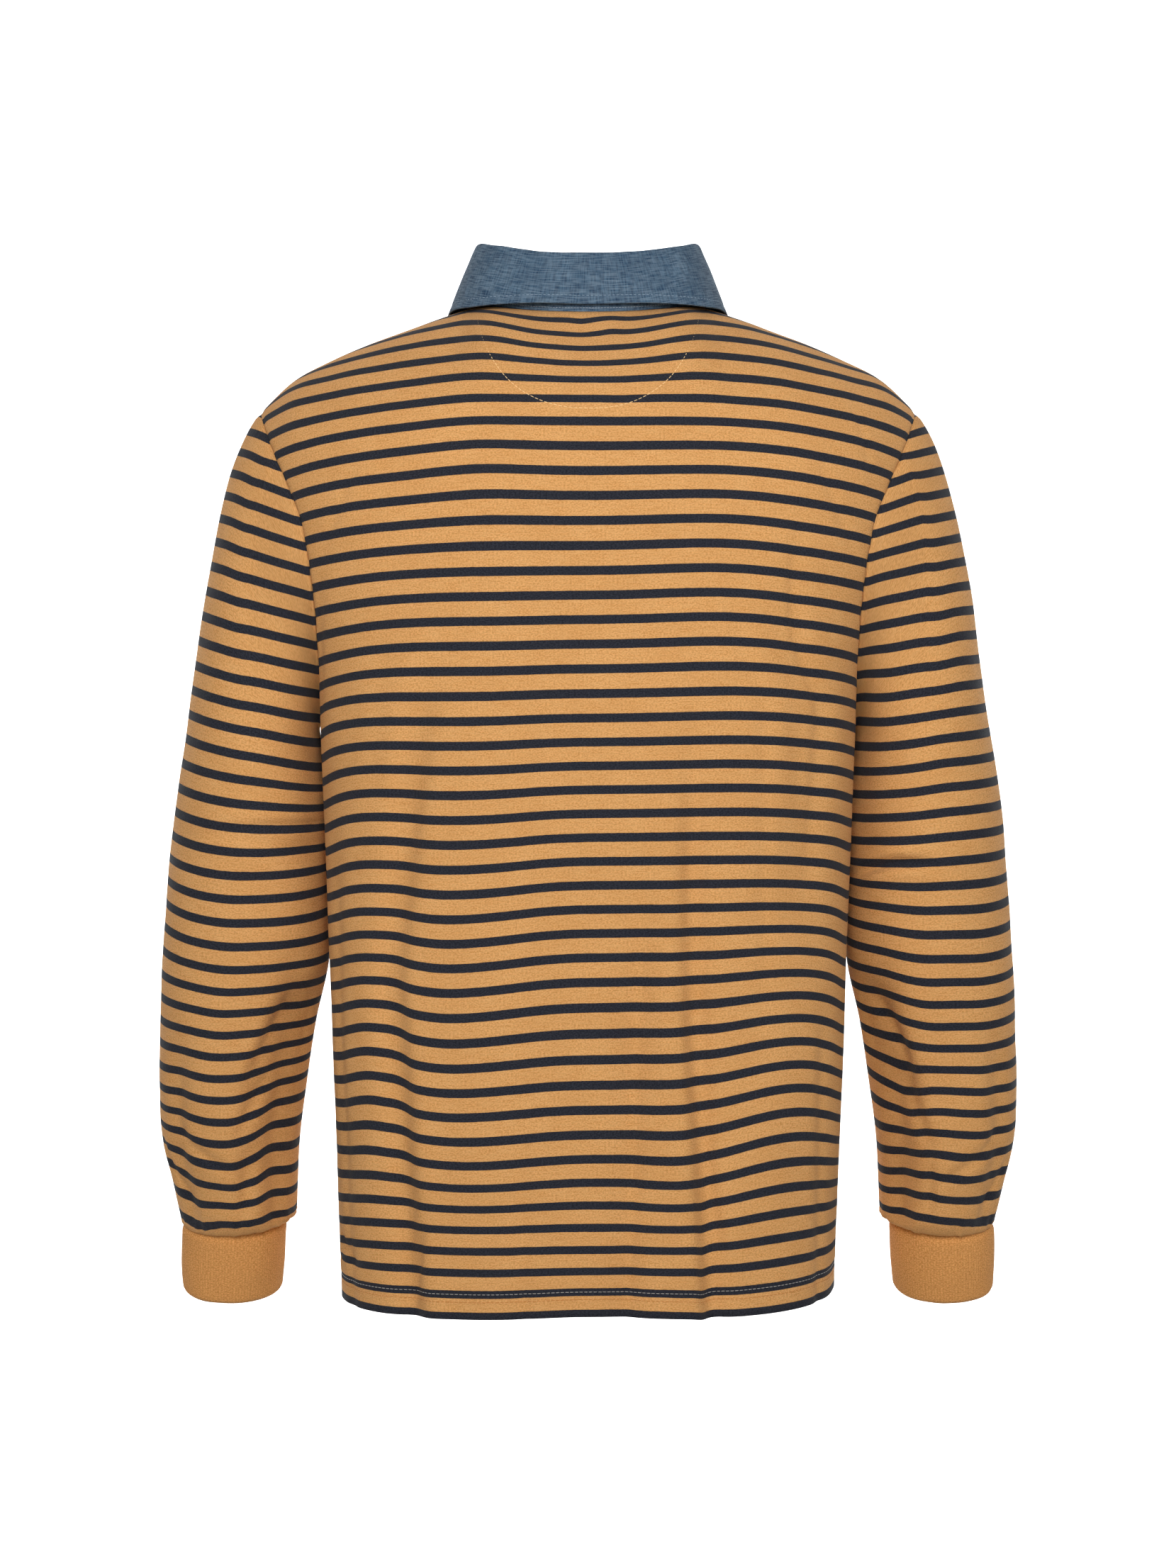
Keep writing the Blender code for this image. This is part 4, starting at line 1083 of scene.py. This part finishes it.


# A button on a place of the placket, with four discs of painted shade for its holes and crossed thread.
def makeButton(number):
    name = f"button_{number}"
    low, high = (np.array(corner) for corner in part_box(name))
    middle = (low + high) / 2
    index = np.interp(middle[2], frontHeights[::-1], frontIndex[::-1])
    points, ways = acrossPanel(front, index, np.array([0.0]))
    turn = Vector(ways[0]).to_track_quat("Z", "Y").to_matrix().to_4x4()
    size = buttonForm
    radii, heights = size["profile"]["out"] * size["radius"], size["profile"]["up"] * size["height"]
    disc = turnedMesh(f"{name}.disc", radii, heights, size["steps"])
    pieces = [addPiece(f"buttonDisc.{number}", disc, finishes["button"], [name])]
    face = size["height"] * size["face"]
    # Flat discs in the shadow finish paint the shade of the four holes.
    radii = np.array(size["holeRings"]) * size["holeRadius"]
    heights = np.full_like(radii, face + size["holeLift"])
    hole = turnedMesh(f"{name}.hole", radii, heights, size["holeSteps"])
    quarters = np.radians([45, 135, 225, 315])
    spots = [(math.cos(t) * size["holeSpacing"], math.sin(t) * size["holeSpacing"]) for t in quarters]
    for corner, (x, y) in enumerate(spots):
        piece = addPiece(f"buttonHoleShade.{number}.{corner}", hole.copy(), finishes["shadow"])
        piece.data.transform(Matrix.Translation((x, y, 0)))
        pieces.append(piece)
    count = size["threadSteps"]
    for start, end in ((0, 2), (1, 3)):
        line = np.linspace([*spots[start], face], [*spots[end], face], count)
        lines = [(line, np.tile([0, 0, 1.0], (count, 1)))]
        threadName = f"buttonThread.{number}.{start}"
        thread = threadMesh(threadName, lines, size["threadRadius"], size["threadArch"])
        pieces.append(addPiece(threadName, thread, finishes["navyThread"]))
    centre = Vector(middle) - turn.to_3x3() @ Vector((0, 0, size["height"] / 2))
    for piece in pieces:
        piece.data.transform(Matrix.Translation(centre) @ turn)


# Stitches.

stitchForm = {
    # A stitch's length, the gap after it and its thread's radius, by seam.
    "usual": (0.0025, 0.0007, 0.00022),
    "yoke": (0.0026, 0.0009, 0.000264),
    "leaf": (0.0018, 0.0012, 0.000198),
    "stand": (0.0017, 0.0004, 0.00022),
    "buttonholes": (None, None, 0.000154),
    "arch": 0.00022,
    "sunk": 0.5,  # share of the thread's radius that lies in the cloth
    "tip": 0.45,  # share of the radius at a stitch's ends
    "blunt": 0.08,  # share of a stitch's length at each end that doesn't grow thinner
    "sides": 6,
    "steps": 5,
    # Grid columns or rows that stay free of stitches at the ends of a line.
    "hemFree": 0.6,
    "standFree": 6,
    "bandFree": 2,
    # Points along a line before it is cut into stitches.
    "hemPoints": 900,
    "yokePoints": 121,
    "collarPoints": 1200,
    "leafSidePoints": 60,
    "bandPoints": 200,
}


# Threads along some lines of points and ways out, each arched and sunk at its ends.
def threadMesh(name, lines, radius, arch):
    sides = stitchForm["sides"]
    angles = 2 * math.pi * np.arange(sides) / sides
    points, faces = [], []
    for line, ways in lines:
        along = unit(np.gradient(line, axis=0))
        beside = np.cross(along, ways)
        steps = np.linspace(0, 1, len(line))
        lift = arch * np.sin(math.pi * steps) - radius * stitchForm["sunk"]
        inner = np.clip(steps, stitchForm["blunt"], 1 - stitchForm["blunt"])
        fullness = np.sin(math.pi * inner) ** 0.5
        thick = radius * (stitchForm["tip"] + (1 - stitchForm["tip"]) * fullness)
        first = len(points)
        for k in range(len(line)):
            ring = np.outer(np.cos(angles), ways[k]) + np.outer(np.sin(angles), beside[k])
            points.extend(line[k] + ways[k] * lift[k] + ring * thick[k])
        for k in range(len(line) - 1):
            for n in range(sides):
                a, b = first + k * sides + n, first + k * sides + (n + 1) % sides
                faces.append((a, b, b + sides, a + sides))
        last = first + (len(line) - 1) * sides
        faces.append(tuple(range(first + sides - 1, first - 1, -1)))
        faces.append(tuple(range(last, last + sides)))
    mesh = bpy.data.meshes.new(name)
    mesh.from_pydata([tuple(p) for p in points], [], faces)
    mesh.shade_smooth()
    return mesh


# Cuts a line of points on the cloth into a seam's stitches.
def stitchesAlong(points, ways, seam="usual"):
    length, gap = stitchForm[seam][:2]
    run = runAlong(points)
    lines = []
    for start in np.arange(gap, run[-1] - length, length + gap):
        at = start + np.linspace(0, length, stitchForm["steps"])
        line = np.stack([np.interp(at, run, points[:, k]) for k in range(3)], -1)
        way = np.stack([np.interp(at, run, ways[:, k]) for k in range(3)], -1)
        lines.append((line, unit(way)))
    return lines


def hemLines(panel, index):
    numbers = np.arange(panel["grid"].shape[0])
    row = np.interp(index, panel["index"][:, 0], numbers)
    free = stitchForm["hemFree"]
    columns = np.linspace(free, panel["grid"].shape[1] - 1 - free, stitchForm["hemPoints"])
    return stitchesAlong(*placesOn(panel, row, columns))


# The half moon stitched under the back of the neck.
yokeForm = {
    "half": 0.078,
    "high": 0.6,  # stripe index of its ends
    "deep": 5.85,  # stripes from there down to its lowest place
    "power": 2.3,
    "sunkFrom": 4.6,  # stripe index above which its stitches sink into the cloth
    "sunk": 0.00026,
    "free": 4,  # points at each end that stay free of stitches
}


def yokeLines(panel):
    turns = np.linspace(-math.pi / 2, math.pi / 2, stitchForm["yokePoints"])
    power = yokeForm["power"]
    xs = yokeForm["half"] * np.sign(turns) * np.abs(np.sin(turns)) ** (2 / power)
    indices = yokeForm["high"] + yokeForm["deep"] * np.abs(np.cos(turns)) ** (2 / power)
    found = [acrossPanel(panel, index, np.array([x])) for x, index in zip(xs, indices)]
    points, ways = (np.array([spot[k][0] for spot in found]) for k in (0, 1))
    sunk = yokeForm["sunk"] * np.clip(yokeForm["sunkFrom"] - indices, 0, 1)
    points = points - ways * sunk[:, None]
    keep = slice(yokeForm["free"], -yokeForm["free"])
    return stitchesAlong(points[keep], ways[keep], "yoke")


# Round the leaf's three sewn edges.
def leafLines(leaf):
    inset = collarForm["topstitch"]
    grid = leaf["grid"]
    numbers = np.arange(grid.shape[0])
    columns = np.arange(grid.shape[1])
    fromEdge = leaf["u"][0] - leaf["u"][0, 0]
    near = np.interp(inset, fromEdge, columns)
    low = np.array([np.interp(leaf["v"][-1, c] - inset, leaf["v"][:, c], numbers) for c in columns])
    across = np.linspace(near, columns[-1] - near, stitchForm["collarPoints"])
    foot = np.interp(near, columns, low)
    side = np.linspace(collarForm["rollRows"], foot, stitchForm["leafSidePoints"])
    row = np.concatenate([side, np.interp(across, columns, low), side[::-1]])
    column = np.concatenate([np.full_like(side, near), across, np.full_like(side, columns[-1] - near)])
    points, ways = placesOn(leaf, row, column)
    keep = np.concatenate([[True], np.linalg.norm(np.diff(points, axis=0), axis=1) > 1e-6])
    return stitchesAlong(points[keep], ways[keep], "leaf")


def standLines(stand):
    rows, columns = stand["grid"].shape[:2]
    free = stitchForm["standFree"]
    across = np.linspace(free, columns - 1 - free, stitchForm["collarPoints"])
    start, end = collarForm["standSpan"]
    row = (collarForm["standStitch"] - start) / (end - start) * (rows - 1)
    return stitchesAlong(*placesOn(stand, row, across), "stand")


def placketLines(band):
    rows, columns = band["grid"].shape[:2]
    perMetre = (rows - 1) / band["v"][-1, 0]
    inset = placketForm["inset"] / (2 * placketForm["half"]) * (columns - 1)
    foot = rows - 1 - placketForm["inset"] * perMetre
    box = foot - placketForm["box"] * perMetre
    far = columns - 1 - inset
    top, count = stitchForm["bandFree"], stitchForm["bandPoints"]
    corners = [(top, inset), (foot, inset), (foot, far), (top, far)]
    lines = []
    for start, end in [*zip(corners, corners[1:]), ((box, inset), (box, far))]:
        row, column = np.linspace(start, end, count).T
        lines += stitchesAlong(*placesOn(band, row, column))
    return lines


buttonholeForm = {
    "half": 0.0088,  # half its length
    "pitch": 0.00042,
    "span": (0.0002, 0.0013),  # from the slot to the stitches' outer ends
}


# A buttonhole's close stitches, down both sides of its slot.
def buttonholeLines(band, number):
    low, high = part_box(f"button_{number}")
    rows, columns = band["grid"].shape[:2]
    heights = band["grid"][:, columns // 2, 2]
    middle = np.interp((low[2] + high[2]) / 2, heights[::-1], np.arange(rows)[::-1])
    perMetre = (rows - 1) / band["v"][-1, 0]
    acrossMetre = (columns - 1) / (2 * placketForm["half"])
    half = buttonholeForm["half"]
    steps = stitchForm["steps"]
    lines = []
    for side in (-1, 1):
        for down in np.arange(-half, half, buttonholeForm["pitch"]):
            row = np.full(steps, middle + down * perMetre)
            column = (columns - 1) / 2 + side * np.linspace(*buttonholeForm["span"], steps) * acrossMetre
            lines.append(placesOn(band, row, column))
    return lines


# Finishes.

# A node's output that takes part in sums. Every sum makes a Math node.
class Value:
    def __init__(self, graph, socket):
        self.graph, self.socket = graph, socket

    def to(self, operation, *others):
        return self.graph.node("ShaderNodeMath", {"operation": operation}, [self, *others])

    def __add__(self, other):
        return self.to("ADD", other)

    def __mul__(self, other):
        return self.to("MULTIPLY", other)

    def __sub__(self, other):
        return self.to("SUBTRACT", other)

    def __rsub__(self, other):
        return self.graph.node("ShaderNodeMath", {"operation": "SUBTRACT"}, [other, self])

    __radd__, __rmul__ = __add__, __mul__


class Graph:
    def __init__(self, name, constants):
        self.finish = bpy.data.materials.new(name)
        self.finish.use_nodes = True
        self.tree = self.finish.node_tree
        self.surface = self.tree.nodes["Principled BSDF"]
        for key, value in constants.items():
            self.surface.inputs[key].default_value = value

    def node(self, kind, settings, inputs, output=0):
        made = self.tree.nodes.new(kind)
        for name, value in settings.items():
            setattr(made, name, value)
        for key, value in inputs.items() if isinstance(inputs, dict) else enumerate(inputs):
            self.give(made.inputs[key], value)
        return Value(self, made.outputs[output])

    def give(self, socket, value):
        if isinstance(value, Value):
            self.tree.links.new(value.socket, socket)
        else:
            socket.default_value = value

    def attribute(self, name, output):
        return self.node("ShaderNodeAttribute", {"attribute_name": name}, {}, output)

    def mix(self, part, first, second):
        return self.node("ShaderNodeMix", {"data_type": "RGBA"}, {0: part, 6: first, 7: second}, 2)

    # A place's first two numbers: how far along and down the cloth it is.
    def across(self, place):
        split = self.node("ShaderNodeSeparateXYZ", {}, [place])
        return split, Value(self, split.socket.node.outputs[1])

    def scaled(self, vector, scale):
        return self.node("ShaderNodeVectorMath", {"operation": "MULTIPLY"}, [vector, scale])

    # Even noise from 0 to 1. The scale is in cells a metre, along and down the cloth.
    def speckle(self, vector, scale, detail=2.0, spread=0.32):
        inputs = {"Vector": self.scaled(vector, scale), "Scale": 1.0, "Detail": detail}
        raw = self.node("ShaderNodeTexNoise", {}, inputs)
        return self.ramp(raw, 0.5 - spread / 2, 0.5 + spread / 2, 0.0, 1.0)

    def ramp(self, value, low, high, start, end):
        settings = {"interpolation_type": "SMOOTHSTEP"}
        return self.node("ShaderNodeMapRange", settings, [value, low, high, start, end])

    def bump(self, height, distance):
        normal = self.node("ShaderNodeBump", {}, {"Strength": 1.0, "Distance": distance, "Height": height})
        self.give(self.surface.inputs["Normal"], normal)

    def colour(self, value):
        self.give(self.surface.inputs["Base Color"], value)

    def roughness(self, value):
        self.give(self.surface.inputs["Roughness"], value)


# A screen colour, 0 to 255, as linear light.
def shade(red, green, blue):
    parts = [((c / 255 + 0.055) / 1.055) ** 2.4 if c > 10 else c / 3295 for c in (red, green, blue)]
    return (*parts, 1.0)


clothConstants = {
    "Metallic": 0.0,
    "Specular IOR Level": 0.2,
    "Sheen Weight": 0.05,
    "Sheen Roughness": 0.5,
}

# A look's noises have their cells a metre along and down the cloth, their detail and, in the
# weave, their spread. Its parts say how far each noise takes one colour towards the next, and
# its bumps how much of each there is in the relief.
jerseyLook = {
    "half": 0.0031,  # half of a dark stripe
    "edge": 0.00022,
    "ochre": shade(240, 179, 111),
    "ochreDeep": shade(202, 140, 75),
    "ochrePale": shade(240, 188, 126),
    "navy": shade(30, 32, 41),
    "navyPale": shade(56, 58, 67),
    "heather": ((720, 1150, 1), 2.5),
    "yarn": ((80, 1000, 1), 2.0),
    "cloud": ((26, 30, 1), 3.0),
    "parts": {"heather": 0.9, "yarn": 0.35, "cloud": 0.18, "navy": 0.7},
    "fray": (0.00016, 0.0001),  # how far heather and yarn break up a stripe's edges
    "roughness": (0.82, 0.1),
    "wale": 0.0008,
    "course": 0.0006,
    "pinch": 1.4,  # how far a course bends at the wales, in radians
    "bumps": {"loops": 0.6, "heather": 0.6},
    "relief": 0.00012,
}


# Loops of knitting: rounded ridges down the cloth, pinched once a course.
def loops(look, u, v):
    across = (u * (2 * math.pi / look["wale"])).to("SINE")
    down = (v * (2 * math.pi / look["course"]) + across.to("ABSOLUTE") * look["pinch"]).to("SINE")
    return across * 0.5 + down * 0.5


def makeJersey():
    look = jerseyLook
    graph = Graph("jersey", clothConstants)
    place = graph.attribute("cloth", "Vector")
    index = graph.attribute("stripe", "Fac")
    u, v = graph.across(place)
    heather = graph.speckle(place, *look["heather"])
    yarn = graph.speckle(place, *look["yarn"])
    cloud = graph.speckle(place, *look["cloud"])
    away = ((index + 0.5).to("FRACT") - 0.5).to("ABSOLUTE") * form["pitch"]
    away = away + (heather - 0.5) * look["fray"][0] + (yarn - 0.5) * look["fray"][1]
    stripe = graph.ramp(away, look["half"] - look["edge"], look["half"] + look["edge"], 1.0, 0.0)
    parts = look["parts"]
    ochre = graph.mix(heather * parts["heather"], look["ochre"], look["ochreDeep"])
    ochre = graph.mix(yarn * parts["yarn"], ochre, look["ochrePale"])
    ochre = graph.mix(cloud * parts["cloud"], ochre, look["ochreDeep"])
    navy = graph.mix(heather * parts["navy"], look["navy"], look["navyPale"])
    graph.colour(graph.mix(stripe, ochre, navy))
    least, more = look["roughness"]
    graph.roughness(heather * more + least)
    bumps = look["bumps"]
    height = loops(look, u, v) * bumps["loops"] + heather * bumps["heather"] + cloud
    graph.bump(height, look["relief"])
    return graph.finish


ribLook = {
    "ochre": shade(245, 179, 108),
    "ochreDeep": shade(203, 134, 67),
    # painted shade for the grooves between the ribs
    "grooveShade": shade(212, 146, 79),
    "grooveShare": 0.7,  # of a rib's height, below which the painted shade of the grooves shows
    "grooveShadePart": 0.6,
    "heather": ((720, 1100, 1), 2.5),
    "heatherPart": 0.9,
    "yarn": ((60, 1200, 1), 2.0),
    "yarnBump": 0.8,
    "roughness": (0.84, 0.1),
    "relief": 0.00012,
}


def makeRib():
    look = ribLook
    graph = Graph("rib", clothConstants)
    place = graph.attribute("cloth", "Vector")
    ridge = graph.attribute("rib", "Fac")
    heather = graph.speckle(place, *look["heather"])
    yarn = graph.speckle(place, *look["yarn"])
    ochre = graph.mix(heather * look["heatherPart"], look["ochre"], look["ochreDeep"])
    # Painted shade: the grooves between the ribs are coloured darker.
    grooveShade = graph.ramp(ridge, 0.0, look["grooveShare"], look["grooveShadePart"], 0.0)
    graph.colour(graph.mix(grooveShade, ochre, look["grooveShade"]))
    least, more = look["roughness"]
    graph.roughness(heather * more + least)
    graph.bump(heather + yarn * look["yarnBump"], look["relief"])
    return graph.finish


chambrayLook = {
    "blue": shade(76, 104, 128),
    "deep": shade(34, 58, 84),
    "pale": shade(136, 157, 173),
    "along": ((110, 1200, 1), 3.0, 0.3),
    "down": ((1200, 110, 1), 3.0, 0.3),
    "cloud": ((45, 45, 1), 3.0),
    "parts": {"pale": 0.5, "deep": 0.25},
    "roughness": (0.76, 0.12),
    "thread": 0.00042,
    "bumps": {"weave": 0.7, "threads": 0.6},
    "relief": 0.0001,
}


# Plain weave of blue threads one way and paler ones the other, both thick and thin.
def makeChambray():
    look = chambrayLook
    graph = Graph("chambray", clothConstants)
    place = graph.attribute("cloth", "Vector")
    u, v = graph.across(place)
    along, down, cloud = (graph.speckle(place, *look[name]) for name in ("along", "down", "cloud"))
    blue = graph.mix(down, look["deep"], look["blue"])
    pale = graph.mix(along * look["parts"]["pale"], blue, look["pale"])
    graph.colour(graph.mix(cloud * look["parts"]["deep"], pale, look["deep"]))
    least, more = look["roughness"]
    graph.roughness(along * more + least)
    turn = math.pi / look["thread"]
    weave = (u * turn).to("SINE") * (v * turn).to("SINE")
    bumps = look["bumps"]
    graph.bump(weave * bumps["weave"] + (along + down) * bumps["threads"], look["relief"])
    return graph.finish


grainLook = {"part": 0.3, "dark": 0.6}


# One colour, or with fine darker grain if grain gives its cells a metre.
def makePlain(name, colour, roughness, grain=0.0):
    graph = Graph(name, {"Roughness": roughness, "Metallic": 0.0, "Base Color": colour})
    if grain:
        place = graph.node("ShaderNodeTexCoord", {}, {}, "Object")
        noisy = graph.speckle(place, (grain, grain, grain))
        dark = (*(c * grainLook["dark"] for c in colour[:3]), 1.0)
        graph.colour(graph.mix(noisy * grainLook["part"], colour, dark))
    return graph.finish


threadColours = {
    "ochreThread": shade(255, 218, 156),
    "rustThread": shade(206, 128, 56),
    "greyThread": shade(190, 184, 176),
    "blueThread": shade(172, 186, 200),
    "slateThread": shade(140, 160, 178),
    "navyThread": shade(48, 58, 78),
}
finishes = {
    "jersey": makeJersey(),
    "rib": makeRib(),
    "chambray": makeChambray(),
    "button": makePlain("button", shade(214, 206, 188), 0.32, 900),
    "shadow": makePlain("shadow", shade(40, 36, 30), 0.8),
    **{name: makePlain(name, colour, 0.7) for name, colour in threadColours.items()},
}
print("finishes made")


# Cloth pieces.

thick = {"jersey": 0.0016, "rib": 0.0018, "chambray": 0.0012}


# A piece of cloth in place of a solid. "patch" is where its noise starts, so that no two
# pieces look alike, and marks are more numbers for its finish to read.
def clothPiece(name, node, finish, sheet, patch, closed=False, flip=False, wall=None, skip=None, **marks):
    marks["cloth"] = np.stack([sheet["u"] + patch, sheet["v"], np.zeros_like(sheet["u"])], -1)
    mesh = gridMesh(name, sheet["grid"], closed, flip, marks, skip)
    return addPiece(name, mesh, finishes[finish], [node], wall or thick[finish])


plain = {side: layPanel(side) for side in ("back", "front")}
back = {**plain["back"], "grid": dressPanel("back", plain["back"], plain["front"])}
front = {**plain["front"], "grid": dressPanel("front", plain["front"], plain["back"])}
sleeves = {}
for name, column, mirror in (("left", -1, 1), ("right", 0, -1)):
    pairs = ((back, plain["back"]), (front, plain["front"]))
    edges = [(new["grid"] - old["grid"])[:, column] * [mirror, 1, 1] for new, old in pairs]
    sleeves[name] = sleeveGrid(name, *edges)
cuffs = {name: cuffGrid(name) for name in ("left", "right")}
neckLines = collarLines()
stand, leaf = standGrid(neckLines), leafGrid(neckLines)
print("cloth laid out")

stripe = back["index"] + humps(back["share"], back["index"], stripeShifts)
backCloth = clothPiece("backCloth", "back_panel", "jersey", back, 0, stripe=stripe)
share, index = front["share"][0], front["index"]
slit = np.abs(share[:-1] + share[1:]) / 2 < placketForm["slitHalf"]
slit = slit & (index[:-1, :-1] < placketForm["slitEnd"])
frontCloth = clothPiece("frontCloth", "front_panel", "jersey", front, 3, flip=True, skip=slit, stripe=index)
sleeveCloths, cuffCloths = {}, {}
for name in ("left", "right"):
    flip = name == "left"
    sleeve, cuff = sleeves[name], cuffs[name]
    sleeveCloths[name] = clothPiece(
        f"sleeveCloth.{name}", f"sleeve_{name}", "jersey", sleeve, 6, True, flip, stripe=sleeve["index"]
    )
    cuffCloths[name] = clothPiece(
        f"cuffCloth.{name}", f"cuff_{name}", "rib", cuff, 9, True, flip, rib=cuff["rib"]
    )
standCloth = clothPiece("standCloth", "collar_stand", "chambray", stand, 12, flip=True)
leafCloth = clothPiece("leafCloth", "collar_leaf", "chambray", leaf, 15)
print("cloth pieces made")

bands = {"outer": bandGrid(front, True), "under": bandGrid(front, False)}
bandCloths = {}
for number, (name, band) in enumerate(bands.items()):
    bandCloths[name] = clothPiece(
        f"placketCloth.{name}", f"placket_{name}", "chambray", band, 18 + 3 * number,
        flip=True, wall=placketForm["thick"],
    )
middle = front["grid"].shape[1] // 2
frontHeights, frontIndex = front["grid"][:, middle, 2], front["index"][:, middle]
for number in (1, 2, 3):
    makeButton(number)
print("placket and buttons made")


# Sewing.

outerBand = bands["outer"]
holes = [line for number in (1, 2, 3) for line in buttonholeLines(outerBand, number)]
hemUpper, hemLower = drape["hemRows"]
threads = {
    "hemUpper": (hemLines(back, hemUpper) + hemLines(front, hemUpper), "greyThread", "jersey"),
    "hemLower": (hemLines(back, hemLower) + hemLines(front, hemLower), "rustThread", "jersey"),
    "yoke": (yokeLines(back), "ochreThread", "jersey"),
    "leaf": (leafLines(leaf), "slateThread", "chambray"),
    "stand": (standLines(stand), "blueThread", "chambray"),
    "placket": (placketLines(outerBand), "blueThread", "chambray"),
    "buttonholes": (holes, "blueThread", "chambray"),
}
for name, (lines, finish, slot) in threads.items():
    radius = stitchForm.get(name, stitchForm["usual"])[2]
    mesh = threadMesh(f"stitches.{name}", lines, radius, stitchForm["arch"])
    addPiece(mesh.name, mesh, finishes[finish])
print("sewing made:", {name: len(lines) for name, (lines, finish, slot) in threads.items()})


# The flat size of each piece of cloth, in metres, and its area where it isn't a rectangle. A
# sleeve's or a cuff's width is all the way round.

cuts = (
    (backCloth, (0.560, 0.760), 0.352),
    (frontCloth, (0.560, 0.760), 0.335),
    (sleeveCloths["left"], (0.380, 0.600), 0.172),
    (sleeveCloths["right"], (0.380, 0.600), 0.172),
    (cuffCloths["left"], (0.222, 0.058), None),
    (cuffCloths["right"], (0.222, 0.058), None),
    (standCloth, (0.455, 0.042), None),
    (leafCloth, (0.460, 0.067), None),
    (bandCloths["outer"], (0.033, 0.148), None),
    (bandCloths["under"], (0.033, 0.148), None),
)
for piece, flat, area in cuts:
    size = sum(face.area for face in piece.data.polygons)
    print(f"{piece.name}: {size:.4f} square metres, cut {flat[0] * flat[1]:.4f}")


# Stage.

# White paper curves up behind the shirt, over a pale floor.
stageForm = {
    "floor": -1.62,
    "wide": 8.0,
    "front": 5.5,
    "back": -3.6,
    "bend": 1.7,
    "high": 4.5,
    "steps": {"bend": 25, "floor": 16, "wide": 17},
    "glow": 0.24,  # even light from all around
    "paper": shade(250, 250, 250),
    "boards": shade(192, 192, 190),
}


def makeStage():
    s = stageForm
    turns = np.radians(np.linspace(0, 90, s["steps"]["bend"]))
    curve = [
        (s["back"] + s["bend"] * (1 - math.sin(turn)), s["floor"] + s["bend"] * (1 - math.cos(turn)))
        for turn in turns
    ]
    floorSteps = np.linspace(s["front"], s["back"] + s["bend"], s["steps"]["floor"])
    paths = {
        "boards": [(y, s["floor"]) for y in floorSteps],
        "paper": [*curve, (s["back"], s["floor"] + s["high"])],
    }
    across = np.linspace(-s["wide"], s["wide"], s["steps"]["wide"])
    for name, path in paths.items():
        grid = np.array([[(x, y, z) for x in across] for y, z in path])
        sheet = bpy.data.objects.new(name, gridMesh(name, grid, False, True, {}))
        sheet.data.materials.append(makePlain(name, s[name], 0.9))
        bpy.context.scene.collection.objects.link(sheet)


# Softboxes. "fan" is how many degrees a box's light spreads over, and keeps it off the floor.
lights = table(
    "x y z size power fan aimX aimY aimZ",
    (0.0, 3.3, 0.7, 1.4, 11.7, 75, 0.0, 0.0, 0.02),
    (-1.8, 2.6, 0.3, 1.8, 3.3, 80, 0.0, 0.0, -0.02),
    (1.8, 2.6, 0.3, 1.8, 3.1, 80, 0.0, 0.0, -0.02),
    (-2.0, -1.4, 1.2, 2.2, 150, 180, -1.6, -3.6, 0.2),
    (2.0, -1.4, 1.2, 2.2, 150, 180, 1.6, -3.6, 0.2),
)


def makeLights():
    for number, lamp in enumerate(rowsOf(lights)):
        data = bpy.data.lights.new(f"softbox.{number}", "AREA")
        data.shape = "DISK"
        data.size = lamp["size"]
        data.energy = lamp["power"]
        data.spread = math.radians(lamp["fan"])
        made = bpy.data.objects.new(data.name, data)
        made.location = (lamp["x"], lamp["y"], lamp["z"])
        aim = Vector((lamp["aimX"], lamp["aimY"], lamp["aimZ"]))
        made.rotation_euler = (aim - made.location).to_track_quat("-Z", "Y").to_euler()
        bpy.context.scene.collection.objects.link(made)
    world = bpy.data.worlds.new("studio")
    world.use_nodes = True
    surround = world.node_tree.nodes["Background"].inputs
    surround["Color"].default_value = (1, 1, 1, 1)
    surround["Strength"].default_value = stageForm["glow"]
    bpy.context.scene.world = world


makeStage()
makeLights()
bpy.context.scene.view_settings.view_transform = "Standard"
print("stage set")
